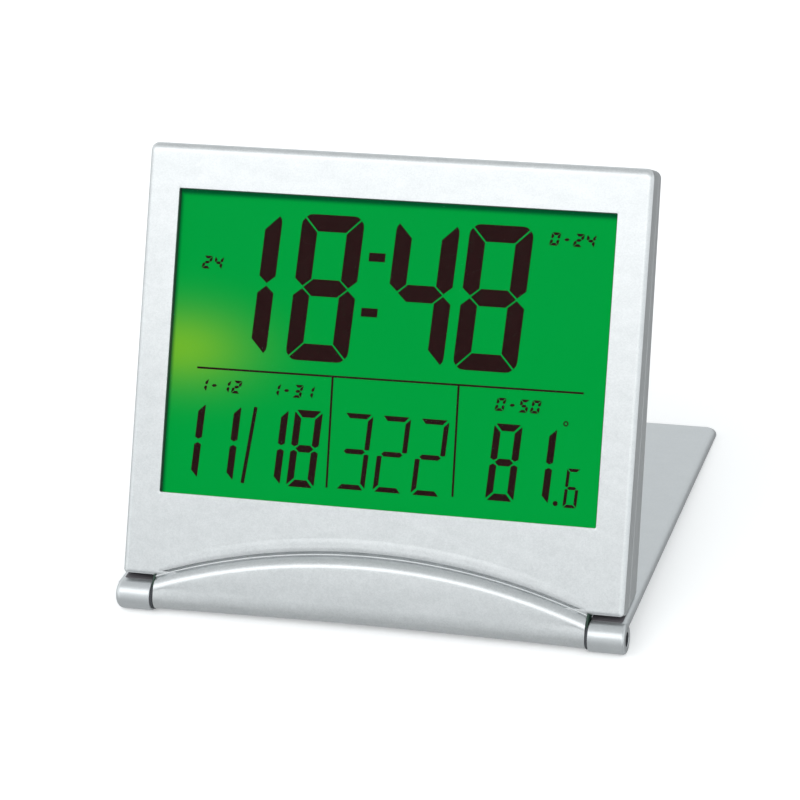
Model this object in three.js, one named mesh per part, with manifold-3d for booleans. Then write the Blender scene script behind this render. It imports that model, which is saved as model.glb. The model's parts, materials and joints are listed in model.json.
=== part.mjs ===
// A folding travel clock with a large digital display, opened and standing on its cover.
// Sizes are millimetres. X runs along the hinge, Y to the rear and Z up, and the origin is the
// middle of the footprint on the table.

import * as THREE from 'three';
import { mergeVertices } from 'three/addons/utils/BufferGeometryUtils.js';
import Module from 'manifold-3d';

// Case. Heights are measured up its front face from the lower edge, depths from that face to the
// rear. The room behind the circuit board holds the coin cell at the foot, and the taper is how
// much shallower the case is at its top.
const caseWidth = 85;
const caseHeight = 71.5;
const rearRoom = 4.4;
const caseTaper = 3.4;
const caseCornerRadius = 1.3;
const caseFootRadius = 1.05;
const hollowCornerRadius = 0.3;
const caseEdgeRadius = 1;
const caseSideWall = 1.2;
const caseFrontWall = 0.9;
const caseRearWall = 1;
const seamDepth = 4.2;
const seamGap = 0.3;

// Window for the display, given by the widths of the bezel around it.
const bezelSide = 5.5;
const bezelTop = 7.4;
const windowSill = 13.9;

// Hinge. Its axis lies below the lower edge of the case and a little behind the front face.
const hingeDrop = 3.55;
const hingeDepth = 1.15;
const knuckleRadius = 2.5;
const knuckleLength = 6.2;
const knuckleEdgeRadius = 0.8;
const hingeSideGap = 0.35;
const barrelRadius = 2.1;
const barrelWaist = 0.4;
const pinRadius = 0.85;
const pinClearance = 0.15;
const pinLength = 9;
const pinRecess = 1.4;

// Arched lip on the case front, which the folded cover fits around.
const lipEndHeight = -0.2;
const lipRise = 6.3;
const lipRounding = 1.8;

// Cover, which is also the stand. The open angle lies between the case front and the cover.
const coverOverhang = 0.7;
const coverCornerRadius = 2.2;
const coverFootRadius = 0.5;
const coverEdgeRadius = 0.4;
const coverFaceGap = 0.3;
const cutoutGap = 0.4;
const openAngleDegrees = 65.6;
const seatGap = 0.3;

// Display stack behind the window, from front to rear.
const stackGap = 0.2;
const fitGap = 0.25;
const lensThickness = 0.5;
const lensMargin = 1.6;
const glassThickness = 0.55;
const glassMargin = 1.7;
const glassSillMargin = 0.7;
const contactLedge = 2.6;
const lightGuideThickness = 0.8;
const reflectorThickness = 0.2;
const ledLength = 3;
const ledWidth = 1;
const ledRise = 27.1;
const frameSideRail = 1.6;
const frameEndRail = 0.8;
const zebraInset = 7;
const zebraWidth = 1.8;

// Circuit board and what it carries.
const boardThickness = 0.6;
const boardTopMargin = 8.5;
const boardShoulder = 12;
const boardFloorGap = 0.4;
const boardEdgeInset = 0.35;
const boardScrewInset = 14.5;
const boardScrewHeight = 6.8;
const chipX = -3;
const chipHeightOnCase = 22;
const chipRadius = 4.5;
const chipThickness = 1.1;
const crystalHeightOnCase = 9.5;
const crystalRadius = 1;
const crystalLength = 6;
const sensorX = -20;
const sensorHeightOnCase = 6.2;
const sensorRadius = 0.8;
const domeRadius = 2;
const domeRise = 0.25;
const domeSheet = 0.12;
const domeShoulder = 0.6;
const domeShoulderRise = 0.8;
const domeRimWidth = 0.2;
const resistorLength = 1.6;
const resistorWidth = 0.8;
const resistorHeight = 0.5;

// Coin cell, its contacts and its twist cap.
const cellRadius = 10;
const cellThickness = 2.5;
const cellCrimpDepth = 0.3;
const cellBaseInset = 1;
const cellX = 17;
const cellHeightOnCase = 18.5;
const cellPocketGap = 0.6;
const contactWidth = 4;
const contactSheet = 0.15;
const contactGap = 0.1;
const capRadius = 12;
const capGap = 0.2;
const capSkirtWall = 1.1;
const capTabReach = 1.2;
const capTabAngle = 24;
const capTabThickness = 0.6;
const capTurnDegrees = 45;
const coinSlotLength = 14;
const coinSlotWidth = 2.2;
const coinSlotDepth = 0.5;

// Buttons in a row on the back, named from left to right as seen from the front.
const buttonNames = ['light', 'down', 'up', 'set', 'mode'];
const buttonPitch = 12;
const keyToCap = 1.3;
const buttonWidth = 7;
const buttonHeight = 4;
const buttonProud = 0.8;
const buttonTravel = 0.5;
const buttonGap = 0.2;
const buttonFlange = 0.6;
const buttonFlangeThickness = 0.5;
const buttonEdgeRadius = 0.3;
const buttonEndRounding = 0.98;
const plungerRadius = 1.2;

// Buzzer and its sound holes in the rear case.
const buzzerX = -20;
const buzzerHeightOnCase = 18.5;
const buzzerRadius = 7;
const buzzerThickness = 0.3;
const soundHoleRadius = 0.6;
const soundHolePitch = 2.4;

// Screws and the posts they bite into.
const screwShankRadius = 0.75;
const screwHeadRadius = 1.4;
const screwHeadHeight = 0.55;
const screwHoleClearance = 0.2;
const screwPostWall = 0.5;
const screwDriveLength = 1.6;
const screwDriveWidth = 0.45;
const screwDriveDepth = 0.3;
const screwBite = 2.6;
const caseScrewInset = 6;
const caseScrewLowHeight = 7.2;
const caseScrewTopInset = 4.5;

// Sizes that follow from the ones above.
const caseHalf = caseWidth / 2;
const coverHalf = caseHalf + coverOverhang;
const windowTop = caseHeight - bezelTop;
const windowHalf = caseHalf - bezelSide;
const ledHeightOnCase = windowSill + ledRise;
const buttonRowHeight = cellHeightOnCase + capRadius + capTabReach + keyToCap + buttonHeight / 2;
const boardTop = buttonRowHeight + buttonHeight / 2 + boardTopMargin;
const boardScrewX = caseHalf - boardScrewInset;
const barrelHalf = coverHalf - knuckleLength - hingeSideGap;
const pinHoleRadius = pinRadius + pinClearance;
const lipProud = barrelRadius - hingeDepth;
const coverInner = hingeDepth + coverFaceGap;
const coverLength = hingeDrop + caseHeight;
const openAngle = THREE.MathUtils.degToRad(openAngleDegrees);
const rearSlope = caseTaper / caseHeight;
const rearAngle = Math.atan(rearSlope);
const lensFront = caseFrontWall + stackGap;
const glassFront = lensFront + lensThickness + stackGap;
const glassStep = glassFront + glassThickness;
const glassRear = glassStep + glassThickness;
const guideFront = glassRear + stackGap;
const guideRear = guideFront + lightGuideThickness;
const reflectorFront = guideRear + stackGap;
const frameRear = reflectorFront + reflectorThickness;
const boardFront = frameRear + stackGap;
const boardRear = boardFront + boardThickness;
const caseDepthBottom = boardRear + rearRoom;
const glassHalf = windowHalf + glassMargin;
const glassTop = windowTop + glassMargin;
const rearGlassSill = windowSill - glassSillMargin;
const glassSill = rearGlassSill - contactLedge;
const frameHalf = glassHalf + fitGap + frameSideRail;
const frameTop = glassTop + fitGap + frameEndRail;
const frameSill = glassSill - fitGap - frameEndRail;
const screwHoleRadius = screwShankRadius + screwHoleClearance;
const screwPostRadius = screwHoleRadius + screwPostWall;
const headRecessRadius = screwHeadRadius + screwHoleClearance;
const caseScrewTopDrop = caseSideWall + screwPostRadius + fitGap;
const far = 4 * caseWidth;
const cutOverrun = 1;
const weldDistance = 1e-5;

const wasm = await Module();
wasm.setup();

// Turns a closed geometry into a solid that can be joined and cut.
function solid(geometry) {
  const bare = geometry.index ? geometry.toNonIndexed() : geometry.clone();
  bare.deleteAttribute('normal');
  bare.deleteAttribute('uv');
  const merged = mergeVertices(bare, weldDistance);
  return new wasm.Manifold(new wasm.Mesh({
    numProp: 3,
    vertProperties: new Float32Array(merged.attributes.position.array),
    triVerts: new Uint32Array(merged.index.array),
  }));
}

// Turns a solid back into a geometry.
function geometryOf(body) {
  const mesh = body.getMesh();
  const geometry = new THREE.BufferGeometry();
  const places = new Float32Array(mesh.vertProperties);
  geometry.setAttribute('position', new THREE.BufferAttribute(places, 3));
  geometry.setIndex(new THREE.BufferAttribute(new Uint32Array(mesh.triVerts), 1));
  geometry.computeVertexNormals();
  return geometry;
}

// Joins a list of solids into one.
function joined(bodies) {
  return bodies.reduce((sum, body) => sum.add(body));
}

// Depth of the rear face behind the front face, at a height on the case.
function rearDepth(height) {
  return caseDepthBottom - rearSlope * height;
}

// Rectangle with rounded corners; the lower pair can have a radius of its own.
function roundedRectangle(left, bottom, right, top, radius, lowRadius = radius) {
  const outline = new THREE.Shape();
  outline.moveTo(left + lowRadius, bottom);
  outline.lineTo(right - lowRadius, bottom);
  outline.absarc(right - lowRadius, bottom + lowRadius, lowRadius, -Math.PI / 2, 0);
  outline.lineTo(right, top - radius);
  outline.absarc(right - radius, top - radius, radius, 0, Math.PI / 2);
  outline.lineTo(left + radius, top);
  outline.absarc(left + radius, top - radius, radius, Math.PI / 2, Math.PI);
  outline.lineTo(left, bottom + lowRadius);
  outline.absarc(left + lowRadius, bottom + lowRadius, lowRadius, Math.PI, 1.5 * Math.PI);
  return outline;
}

// Outline extruded between two depths, with rounded edges at both ends if an edge radius is given.
function extruded(outline, frontDepth, backDepth, edge = 0, curveSegments = 3) {
  const geometry = new THREE.ExtrudeGeometry(outline, {
    depth: backDepth - frontDepth - 2 * edge,
    bevelEnabled: edge > 0,
    bevelThickness: edge,
    bevelSize: edge,
    bevelOffset: -edge,
    bevelSegments: 3,
    curveSegments,
  });
  return geometry.translate(0, 0, edge - backDepth);
}

// Box between two corners on the case, given by X, height and depth.
function block(left, bottom, frontDepth, right, top, backDepth) {
  return new THREE.BoxGeometry(right - left, top - bottom, backDepth - frontDepth)
    .translate((left + right) / 2, (bottom + top) / 2, -(frontDepth + backDepth) / 2);
}

// Round bar square to the case front, between two depths.
function post(x, height, radius, frontDepth, backDepth, sides = 20) {
  return new THREE.CylinderGeometry(radius, radius, backDepth - frontDepth, sides)
    .rotateX(Math.PI / 2)
    .translate(x, height, -(frontDepth + backDepth) / 2);
}

// Moves the rear part of a geometry to the sloping rear face.
function followRearFace(geometry, fromDepth) {
  const place = geometry.attributes.position;
  for (let i = 0; i < place.count; i += 1) {
    if (place.getZ(i) < -fromDepth) {
      place.setZ(i, place.getZ(i) + rearSlope * place.getY(i));
    }
  }
  return geometry;
}

// Places a geometry that was made around the origin, facing the rear, on the rear face.
// A positive inset sinks it into the case.
function onRearFace(geometry, x, height, inset) {
  return geometry
    .rotateX(rearAngle)
    .translate(x, height, -rearDepth(height))
    .translate(0, -inset * Math.sin(rearAngle), inset * Math.cos(rearAngle));
}

// Round plate on the rear face, from one inset to a deeper one.
function rearDisc(x, height, radius, outerInset, innerInset, sides = 40) {
  const thickness = innerInset - outerInset;
  const disc = new THREE.CylinderGeometry(radius, radius, thickness, sides).rotateX(Math.PI / 2);
  return onRearFace(disc, x, height, outerInset + thickness / 2);
}

// Everything below the opened cover's outer face, raised by an offset from the hinge axis.
function underCover(offset) {
  return solid(new THREE.BoxGeometry(far, far, far)
    .translate(0, 0, offset - far / 2)
    .rotateX(-openAngle)
    .translate(0, -hingeDrop, -hingeDepth));
}

// Everything in front of a depth.
function inFrontOf(depth) {
  return solid(block(-far, -far, -far, far, far, depth));
}

// Outline of the arched lip, widened by a margin and carried down to a floor.
function archOutline(margin, sideReach, floor) {
  const sagittaRadius = (barrelHalf * barrelHalf + lipRise * lipRise) / (2 * lipRise);
  const centreHeight = lipEndHeight + lipRise - sagittaRadius;
  const radius = sagittaRadius + margin;
  const halfAngle = Math.asin((barrelHalf + sideReach) / radius);
  const outline = new THREE.Shape();
  outline.absarc(0, centreHeight, radius, Math.PI / 2 - halfAngle, Math.PI / 2 + halfAngle);
  outline.lineTo(-barrelHalf - sideReach, floor);
  outline.lineTo(barrelHalf + sideReach, floor);
  return outline;
}

// Cylinder along the hinge, from one X to another, placed on the hinge axis.
function hingeBar(radius, fromX, toX, sides = 20) {
  return new THREE.CylinderGeometry(radius, radius, toX - fromX, sides)
    .rotateZ(Math.PI / 2)
    .translate((fromX + toX) / 2, 0, 0);
}

// Cylinder along the hinge on one side of the middle, between two distances from it.
function sideBar(radius, side, near, away) {
  return hingeBar(radius, Math.min(side * near, side * away), Math.max(side * near, side * away));
}

// Moves a geometry from the hinge axis to its place on the case.
function fromHinge(geometry) {
  return geometry.translate(0, -hingeDrop, -hingeDepth);
}

// Outer form of the closed case: rounded edges, a sloping rear face and a chamfered foot that
// seats on the opened cover.
function caseEnvelope() {
  const outline = roundedRectangle(-caseHalf, 0, caseHalf, caseHeight, caseCornerRadius,
    caseFootRadius);
  const body = extruded(outline, 0, caseDepthBottom, caseEdgeRadius);
  return solid(followRearFace(body, caseDepthBottom / 2)).subtract(underCover(knuckleRadius + seatGap));
}

// Hollow inside the case.
function caseHollow() {
  const innerHalf = caseHalf - caseSideWall;
  const top = caseHeight - caseSideWall;
  const outline = roundedRectangle(-innerHalf, 0, innerHalf, top, hollowCornerRadius);
  const body = extruded(outline, caseFrontWall, caseDepthBottom - caseRearWall);
  return solid(followRearFace(body, caseDepthBottom / 2))
    .subtract(underCover(knuckleRadius + seatGap + caseSideWall));
}

// Height of the hollow's sloping floor at a depth.
function hollowFloor(depth) {
  const offset = knuckleRadius + seatGap + caseSideWall;
  return (offset + (depth - hingeDepth) * Math.cos(openAngle)) / Math.sin(openAngle) - hingeDrop;
}

// Raised lip with a rounded upper edge, and the hinge barrel below it.
function lipAndBarrel() {
  const floor = -hingeDrop - 2 * lipRounding;
  const lip = new THREE.ExtrudeGeometry(archOutline(0, 2 * lipRounding, floor), {
    depth: hingeDepth + lipProud,
    bevelThickness: lipProud,
    bevelSize: lipRounding,
    bevelOffset: -lipRounding,
    bevelSegments: 4,
    curveSegments: 14,
  }).translate(0, 0, -hingeDepth - lipProud);
  const keep = block(-barrelHalf, -hingeDrop, -2 * lipProud, barrelHalf, caseHeight, hingeDepth);
  const steps = 10;
  const profile = [new THREE.Vector2(0, -barrelHalf)];
  for (let i = 0; i <= steps; i += 1) {
    const along = -1 + (2 * i) / steps;
    const radius = barrelRadius - barrelWaist * Math.cos((along * Math.PI) / 2);
    profile.push(new THREE.Vector2(radius, along * barrelHalf));
  }
  profile.push(new THREE.Vector2(0, barrelHalf));
  const barrel = fromHinge(new THREE.LatheGeometry(profile, 28).rotateZ(-Math.PI / 2));
  return solid(lip).intersect(solid(keep)).add(solid(barrel));
}

// The four places where the rear case is screwed on, from the front view's lower left.
function caseScrewPlaces() {
  const lowX = caseHalf - caseScrewInset;
  const topX = caseHalf - caseScrewTopInset;
  const topHeight = caseHeight - caseScrewTopDrop;
  return [
    [-lowX, caseScrewLowHeight],
    [lowX, caseScrewLowHeight],
    [-topX, topHeight],
    [topX, topHeight],
  ];
}

// The two places where the board is screwed to the front case.
const boardScrewPlaces = [[-boardScrewX, boardScrewHeight], [boardScrewX, boardScrewHeight]];

// Depth of the underside of a case screw's head.
function caseScrewSeat(height) {
  return rearDepth(height) - screwHeadHeight;
}

// Depth where the post of a case screw ends, just short of the rear case.
function casePostEnd(height) {
  return rearDepth(height + screwPostRadius) - caseRearWall - seamGap;
}

// Post with a blind hole for a screw, standing on the inside of the front wall.
function screwPost(x, height, endDepth, holeDepth) {
  const bar = solid(post(x, height, screwPostRadius, caseFrontWall / 2, endDepth));
  return [bar, solid(post(x, height, screwHoleRadius, holeDepth, endDepth + caseDepthBottom))];
}

function frontCase() {
  const shell = caseEnvelope().intersect(inFrontOf(seamDepth)).subtract(caseHollow());
  const posts = [];
  const holes = [];
  for (const [x, height] of caseScrewPlaces()) {
    const end = casePostEnd(height);
    const [bar, hole] = screwPost(x, height, end, caseScrewSeat(height) - screwBite - stackGap);
    posts.push(bar);
    holes.push(hole);
  }
  for (const [x, height] of boardScrewPlaces) {
    const [bar, hole] = screwPost(x, height, boardFront - stackGap, boardRear - screwBite - stackGap);
    posts.push(bar);
    holes.push(hole);
  }
  const opening = solid(block(-windowHalf, windowSill, -caseDepthBottom, windowHalf, windowTop,
    caseDepthBottom));
  const boreEnd = coverHalf - pinRecess - pinLength - pinClearance;
  const bores = [-1, 1].map((side) => solid(fromHinge(sideBar(pinHoleRadius, side, boreEnd,
    coverHalf))));
  return joined([shell, lipAndBarrel(), ...posts])
    .subtract(opening)
    .subtract(joined([...holes, ...bores]));
}

// Outline of a key: a rectangle with half-round ends, grown by a margin.
function keyOutline(x, margin) {
  const halfWidth = buttonWidth / 2 + margin;
  const halfHeight = buttonHeight / 2 + margin;
  return roundedRectangle(x - halfWidth, buttonRowHeight - halfHeight, x + halfWidth,
    buttonRowHeight + halfHeight, halfHeight * buttonEndRounding);
}

// X of a button in the row.
function buttonX(index) {
  return (index - (buttonNames.length - 1) / 2) * buttonPitch;
}

function rearCase() {
  const throughWall = caseRearWall + cutOverrun;
  const shell = caseEnvelope().subtract(inFrontOf(seamDepth + seamGap)).subtract(caseHollow());
  const behind = caseDepthBottom + cutOverrun;
  const cuts = buttonNames.map((name, index) => solid(extruded(keyOutline(buttonX(index), buttonGap),
    boardRear, behind)));
  for (const [x, height] of caseScrewPlaces()) {
    cuts.push(solid(post(x, height, screwHoleRadius, boardRear, behind)));
    cuts.push(solid(post(x, height, headRecessRadius, caseScrewSeat(height), behind)));
  }
  for (let column = -1; column <= 1; column += 1) {
    for (let row = -1; row <= 1; row += 1) {
      const x = buzzerX + column * soundHolePitch;
      const height = buzzerHeightOnCase + row * soundHolePitch;
      cuts.push(solid(rearDisc(x, height, soundHoleRadius, -cutOverrun, throughWall, 10)));
    }
  }
  cuts.push(solid(rearDisc(cellX, cellHeightOnCase, capRadius + capGap, -cutOverrun, throughWall)));
  for (const direction of capTabDirections) {
    cuts.push(solid(capTab(capTurnDegrees + direction, capGap, -cutOverrun, throughWall)));
  }
  return shell.subtract(joined(cuts));
}

// Directions of the cap's two tabs when it is locked, in degrees seen from the front.
const capTabDirections = [0, 180];

// Sector of a ring on the rear face around the cap, about a direction in degrees seen from the
// front: a tab of the cap or, grown by a margin, its way in through the rear case.
function capTab(direction, margin, outerInset, innerInset) {
  const inner = capRadius - capSkirtWall / 2;
  const outer = capRadius + capTabReach + margin;
  const halfAngle = THREE.MathUtils.degToRad(capTabAngle / 2) + margin / outer;
  const middle = THREE.MathUtils.degToRad(direction);
  const outline = new THREE.Shape();
  outline.absarc(0, 0, outer, middle - halfAngle, middle + halfAngle);
  outline.absarc(0, 0, inner, middle + halfAngle, middle - halfAngle, true);
  const thickness = innerInset - outerInset;
  const sector = new THREE.ExtrudeGeometry(outline, {
    depth: thickness,
    bevelEnabled: false,
    curveSegments: 4,
  }).translate(0, 0, -thickness / 2);
  return onRearFace(sector, cellX, cellHeightOnCase, outerInset + thickness / 2);
}

// Twist cap over the coin cell, with a skirt, two locking tabs and a slot for a coin.
function batteryCap() {
  const tabOuter = caseRearWall + contactGap;
  const tabInner = tabOuter + capTabThickness;
  const disc = solid(rearDisc(cellX, cellHeightOnCase, capRadius, 0, caseRearWall - contactGap));
  const skirt = solid(rearDisc(cellX, cellHeightOnCase, capRadius, 0, tabInner))
    .subtract(solid(rearDisc(cellX, cellHeightOnCase, capRadius - capSkirtWall, -cutOverrun,
      tabInner + cutOverrun)));
  const tabs = capTabDirections.map((direction) => solid(capTab(direction, 0, tabOuter, tabInner)));
  const slot = onRearFace(new THREE.BoxGeometry(coinSlotLength, coinSlotWidth, 2 * coinSlotDepth),
    cellX, cellHeightOnCase, 0);
  return joined([disc, skirt, ...tabs]).subtract(solid(slot));
}

// Inset of the coin cell's two faces from the rear face.
const cellOuterInset = caseRearWall + contactGap;
const cellInnerInset = cellOuterInset + cellThickness;

function coinCell() {
  const crimp = cellInnerInset - cellCrimpDepth;
  const can = rearDisc(cellX, cellHeightOnCase, cellRadius, cellOuterInset, crimp);
  const base = rearDisc(cellX, cellHeightOnCase, cellRadius - cellBaseInset, crimp - cellCrimpDepth,
    cellInnerInset);
  return solid(can).add(solid(base));
}

// Leaf under the cell, from a foot on the board to the middle of the cell.
function negativeContact() {
  const length = cellRadius + cellPocketGap + contactWidth / 2;
  const leaf = new THREE.BoxGeometry(contactWidth, length, contactSheet).translate(0, -length / 2, 0);
  const inset = cellInnerInset + contactGap + contactSheet / 2;
  return solid(onRearFace(leaf, cellX, cellHeightOnCase, inset));
}

// Spring at the rim of the cell, bent up from a foot on the board.
function positiveContact() {
  const rim = cellX - cellRadius - contactGap;
  const low = cellHeightOnCase - contactWidth / 2;
  const high = cellHeightOnCase + contactWidth / 2;
  const footFront = boardRear + contactGap;
  const uprightRear = rearDepth(high) - caseRearWall - contactGap;
  const upright = block(rim - contactSheet, low, footFront, rim, high, uprightRear);
  const foot = block(rim - contactWidth, low, footFront, rim, high, footFront + contactSheet);
  return solid(upright).add(solid(foot));
}

function circuitBoard() {
  const half = frameHalf - boardEdgeInset;
  const neck = caseHalf - caseScrewInset - screwPostRadius - boardFloorGap;
  const floor = hollowFloor(boardRear) + boardFloorGap;
  const outline = new THREE.Shape();
  outline.moveTo(-neck, floor);
  outline.lineTo(neck, floor);
  outline.lineTo(neck, boardShoulder);
  outline.lineTo(half, boardShoulder);
  outline.lineTo(half, boardTop);
  outline.lineTo(-half, boardTop);
  outline.lineTo(-half, boardShoulder);
  outline.lineTo(-neck, boardShoulder);
  const holes = boardScrewPlaces.map(([x, height]) => post(x, height, screwHoleRadius, 0,
    caseDepthBottom));
  holes.push(post(cellX, cellHeightOnCase, cellRadius + cellPocketGap, 0, caseDepthBottom, 40));
  return solid(extruded(outline, boardFront, boardRear)).subtract(joined(holes.map(solid)));
}

// Screw with a cross recess; its head faces the rear and sits on a given depth.
function screw(x, height, seatDepth) {
  const top = seatDepth + screwHeadHeight;
  const shank = post(x, height, screwShankRadius, seatDepth - screwBite, top - screwDriveDepth, 12);
  const head = post(x, height, screwHeadRadius, seatDepth, top);
  const half = screwDriveLength / 2;
  const thin = screwDriveWidth / 2;
  const floor = top - screwDriveDepth;
  const above = top + cutOverrun;
  const drive = solid(block(x - half, height - thin, floor, x + half, height + thin, above))
    .add(solid(block(x - thin, height - half, floor, x + thin, height + half, above)));
  return solid(shank).add(solid(head)).subtract(drive);
}

// Clear window behind the opening of the front case.
function displayWindow() {
  const half = windowHalf + lensMargin;
  return solid(block(-half, windowSill - lensMargin, lensFront, half, windowTop + lensMargin,
    lensFront + lensThickness));
}

// Display cell: the front glass reaches below the rear one and carries the contacts.
function displayGlass() {
  const front = block(-glassHalf, glassSill, glassFront, glassHalf, glassTop, glassStep);
  const rear = block(-glassHalf, rearGlassSill, glassStep - glassThickness / 2, glassHalf, glassTop,
    glassRear);
  return solid(front).add(solid(rear));
}

// White frame that holds the display stack together.
function displayFrame() {
  const outer = block(-frameHalf, frameSill, glassFront, frameHalf, frameTop, frameRear);
  const innerHalf = glassHalf + fitGap;
  const inner = block(-innerHalf, glassSill - fitGap, 0, innerHalf, glassTop + fitGap, caseDepthBottom);
  return solid(outer).subtract(solid(inner));
}

// Plate behind the display, leaving room for the lamp at its left edge.
function backPlate(frontDepth, backDepth) {
  const left = -glassHalf + ledWidth + 2 * fitGap;
  const right = glassHalf - fitGap;
  return solid(block(left, rearGlassSill, frontDepth, right, glassTop - fitGap, backDepth));
}

function lamp() {
  const left = -glassHalf + fitGap;
  const half = ledLength / 2;
  return solid(block(left, ledHeightOnCase - half, guideFront, left + ledWidth, ledHeightOnCase + half,
    boardFront - stackGap));
}

function zebraStrip() {
  const middle = rearGlassSill - contactLedge / 2 - fitGap / 2;
  const half = windowHalf - zebraInset;
  return solid(block(-half, middle - zebraWidth / 2, glassStep + stackGap, half,
    middle + zebraWidth / 2, boardFront - stackGap));
}

// Blob of resin over the clock chip.
function chipCover() {
  const steps = 5;
  const profile = [new THREE.Vector2(0, 0)];
  for (let i = 0; i <= steps; i += 1) {
    const angle = (i / steps) * (Math.PI / 2);
    profile.push(new THREE.Vector2(chipRadius * Math.cos(angle), chipThickness * Math.sin(angle)));
  }
  return solid(new THREE.LatheGeometry(profile, 24)
    .rotateX(-Math.PI / 2)
    .translate(chipX, chipHeightOnCase, -boardRear - contactGap));
}

function crystal() {
  return solid(new THREE.CylinderGeometry(crystalRadius, crystalRadius, crystalLength, 14)
    .rotateZ(Math.PI / 2)
    .translate(chipX, crystalHeightOnCase, -boardRear - contactGap - crystalRadius));
}

function temperatureSensor() {
  return solid(new THREE.SphereGeometry(sensorRadius, 12, 8)
    .translate(sensorX, sensorHeightOnCase, -boardRear - contactGap - sensorRadius));
}

// The small resistors on the back of the board, by X and height.
const resistorPlaces = [[-12, 26], [-12, 29], [-31, 30], [-31, 27], [33, 26], [33, 29]];

// Resistor soldered to the back of the board.
function resistor(x, height) {
  const rear = boardRear + contactGap;
  return solid(block(x - resistorLength / 2, height - resistorWidth / 2, rear, x + resistorLength / 2,
    height + resistorWidth / 2, rear + resistorHeight));
}

// Snap dome on the board under a button. Its profile runs from the middle of the underside around
// the rim to the top.
function snapDome(index) {
  const shoulder = domeRadius * domeShoulder;
  const shoulderTop = domeRise * domeShoulderRise;
  const profile = [
    new THREE.Vector2(0, domeRise - domeSheet),
    new THREE.Vector2(shoulder - domeSheet, shoulderTop - domeSheet),
    new THREE.Vector2(domeRadius - domeRimWidth, 0),
    new THREE.Vector2(domeRadius, 0),
    new THREE.Vector2(shoulder, shoulderTop),
    new THREE.Vector2(0, domeRise),
  ];
  return solid(new THREE.LatheGeometry(profile, 16)
    .rotateX(-Math.PI / 2)
    .translate(buttonX(index), buttonRowHeight, -boardRear - contactGap / 2));
}

function buzzer() {
  const outer = caseRearWall + contactGap;
  return solid(rearDisc(buzzerX, buzzerHeightOnCase, buzzerRadius, outer, outer + buzzerThickness, 32));
}

// Key in the rear case: a rounded cap on a flange that keeps it from falling out, and a short
// plunger that stops one travel above the snap dome.
function button(index) {
  const x = buttonX(index);
  const flangeTop = buttonRowHeight + buttonHeight / 2 + buttonFlange;
  const flangeRear = rearDepth(flangeTop) - caseRearWall - contactGap;
  const flangeFront = flangeRear - buttonFlangeThickness;
  const top = rearDepth(buttonRowHeight) + buttonProud;
  const cap = extruded(keyOutline(x, 0), flangeFront, top, buttonEdgeRadius);
  const flange = extruded(keyOutline(x, buttonFlange), flangeFront, flangeRear);
  const plungerEnd = boardRear + contactGap / 2 + domeRise + buttonTravel + contactGap;
  const plunger = post(x, buttonRowHeight, plungerRadius, plungerEnd, flangeRear, 16);
  return joined([cap, flange, plunger].map(solid));
}

// Cover plate with an arched cut-out at the hinge and a knuckle at each end. It is drawn with the
// hinge on X, its length along Y and its outer face up.
function cover() {
  const plateOutline = roundedRectangle(-coverHalf, -coverCornerRadius, coverHalf, coverLength,
    coverCornerRadius, coverFootRadius);
  const plate = new THREE.ExtrudeGeometry(plateOutline, {
    depth: knuckleRadius - coverInner - 2 * coverEdgeRadius,
    bevelThickness: coverEdgeRadius,
    bevelSize: coverEdgeRadius,
    bevelOffset: -coverEdgeRadius,
    bevelSegments: 3,
    curveSegments: 3,
  }).translate(0, 0, coverInner + coverEdgeRadius);
  const inner = coverHalf - knuckleLength;
  const arch = new THREE.ExtrudeGeometry(archOutline(cutoutGap, inner - barrelHalf, -far), {
    depth: far,
    bevelEnabled: false,
    curveSegments: 14,
  }).translate(0, hingeDrop, -far / 2);
  const nearHinge = new THREE.BoxGeometry(far, far, far).translate(0, -far / 2, 0);
  const knuckles = [-1, 1].map((side) => knuckle(side));
  const bores = [-1, 1].map((side) => solid(sideBar(pinHoleRadius, side, inner - cutOverrun,
    coverHalf + cutOverrun)));
  return solid(plate)
    .subtract(solid(arch))
    .subtract(solid(nearHinge))
    .add(joined(knuckles))
    .subtract(joined(bores));
}

// One knuckle of the cover, with a rounded outer edge.
function knuckle(side) {
  const inner = coverHalf - knuckleLength;
  const profile = [new THREE.Vector2(0, inner), new THREE.Vector2(knuckleRadius, inner)];
  const steps = 4;
  for (let i = 0; i <= steps; i += 1) {
    const angle = (i / steps) * (Math.PI / 2);
    profile.push(new THREE.Vector2(knuckleRadius - knuckleEdgeRadius * (1 - Math.cos(angle)),
      coverHalf - knuckleEdgeRadius * (1 - Math.sin(angle))));
  }
  profile.push(new THREE.Vector2(0, coverHalf));
  return solid(new THREE.LatheGeometry(profile, 36).rotateZ((-side * Math.PI) / 2));
}

function hingePin(side) {
  const outer = coverHalf - pinRecess;
  return solid(sideBar(pinRadius, side, outer - pinLength, outer));
}

// Slope of the opened cover: it stands on its two knuckles and on its rear lower edge.
function coverSlope() {
  const edgeY = coverLength - coverEdgeRadius;
  const edgeZ = coverInner + coverEdgeRadius;
  return Math.atan2(edgeZ, edgeY) + Math.asin((knuckleRadius - coverEdgeRadius) / Math.hypot(edgeY, edgeZ));
}

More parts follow.
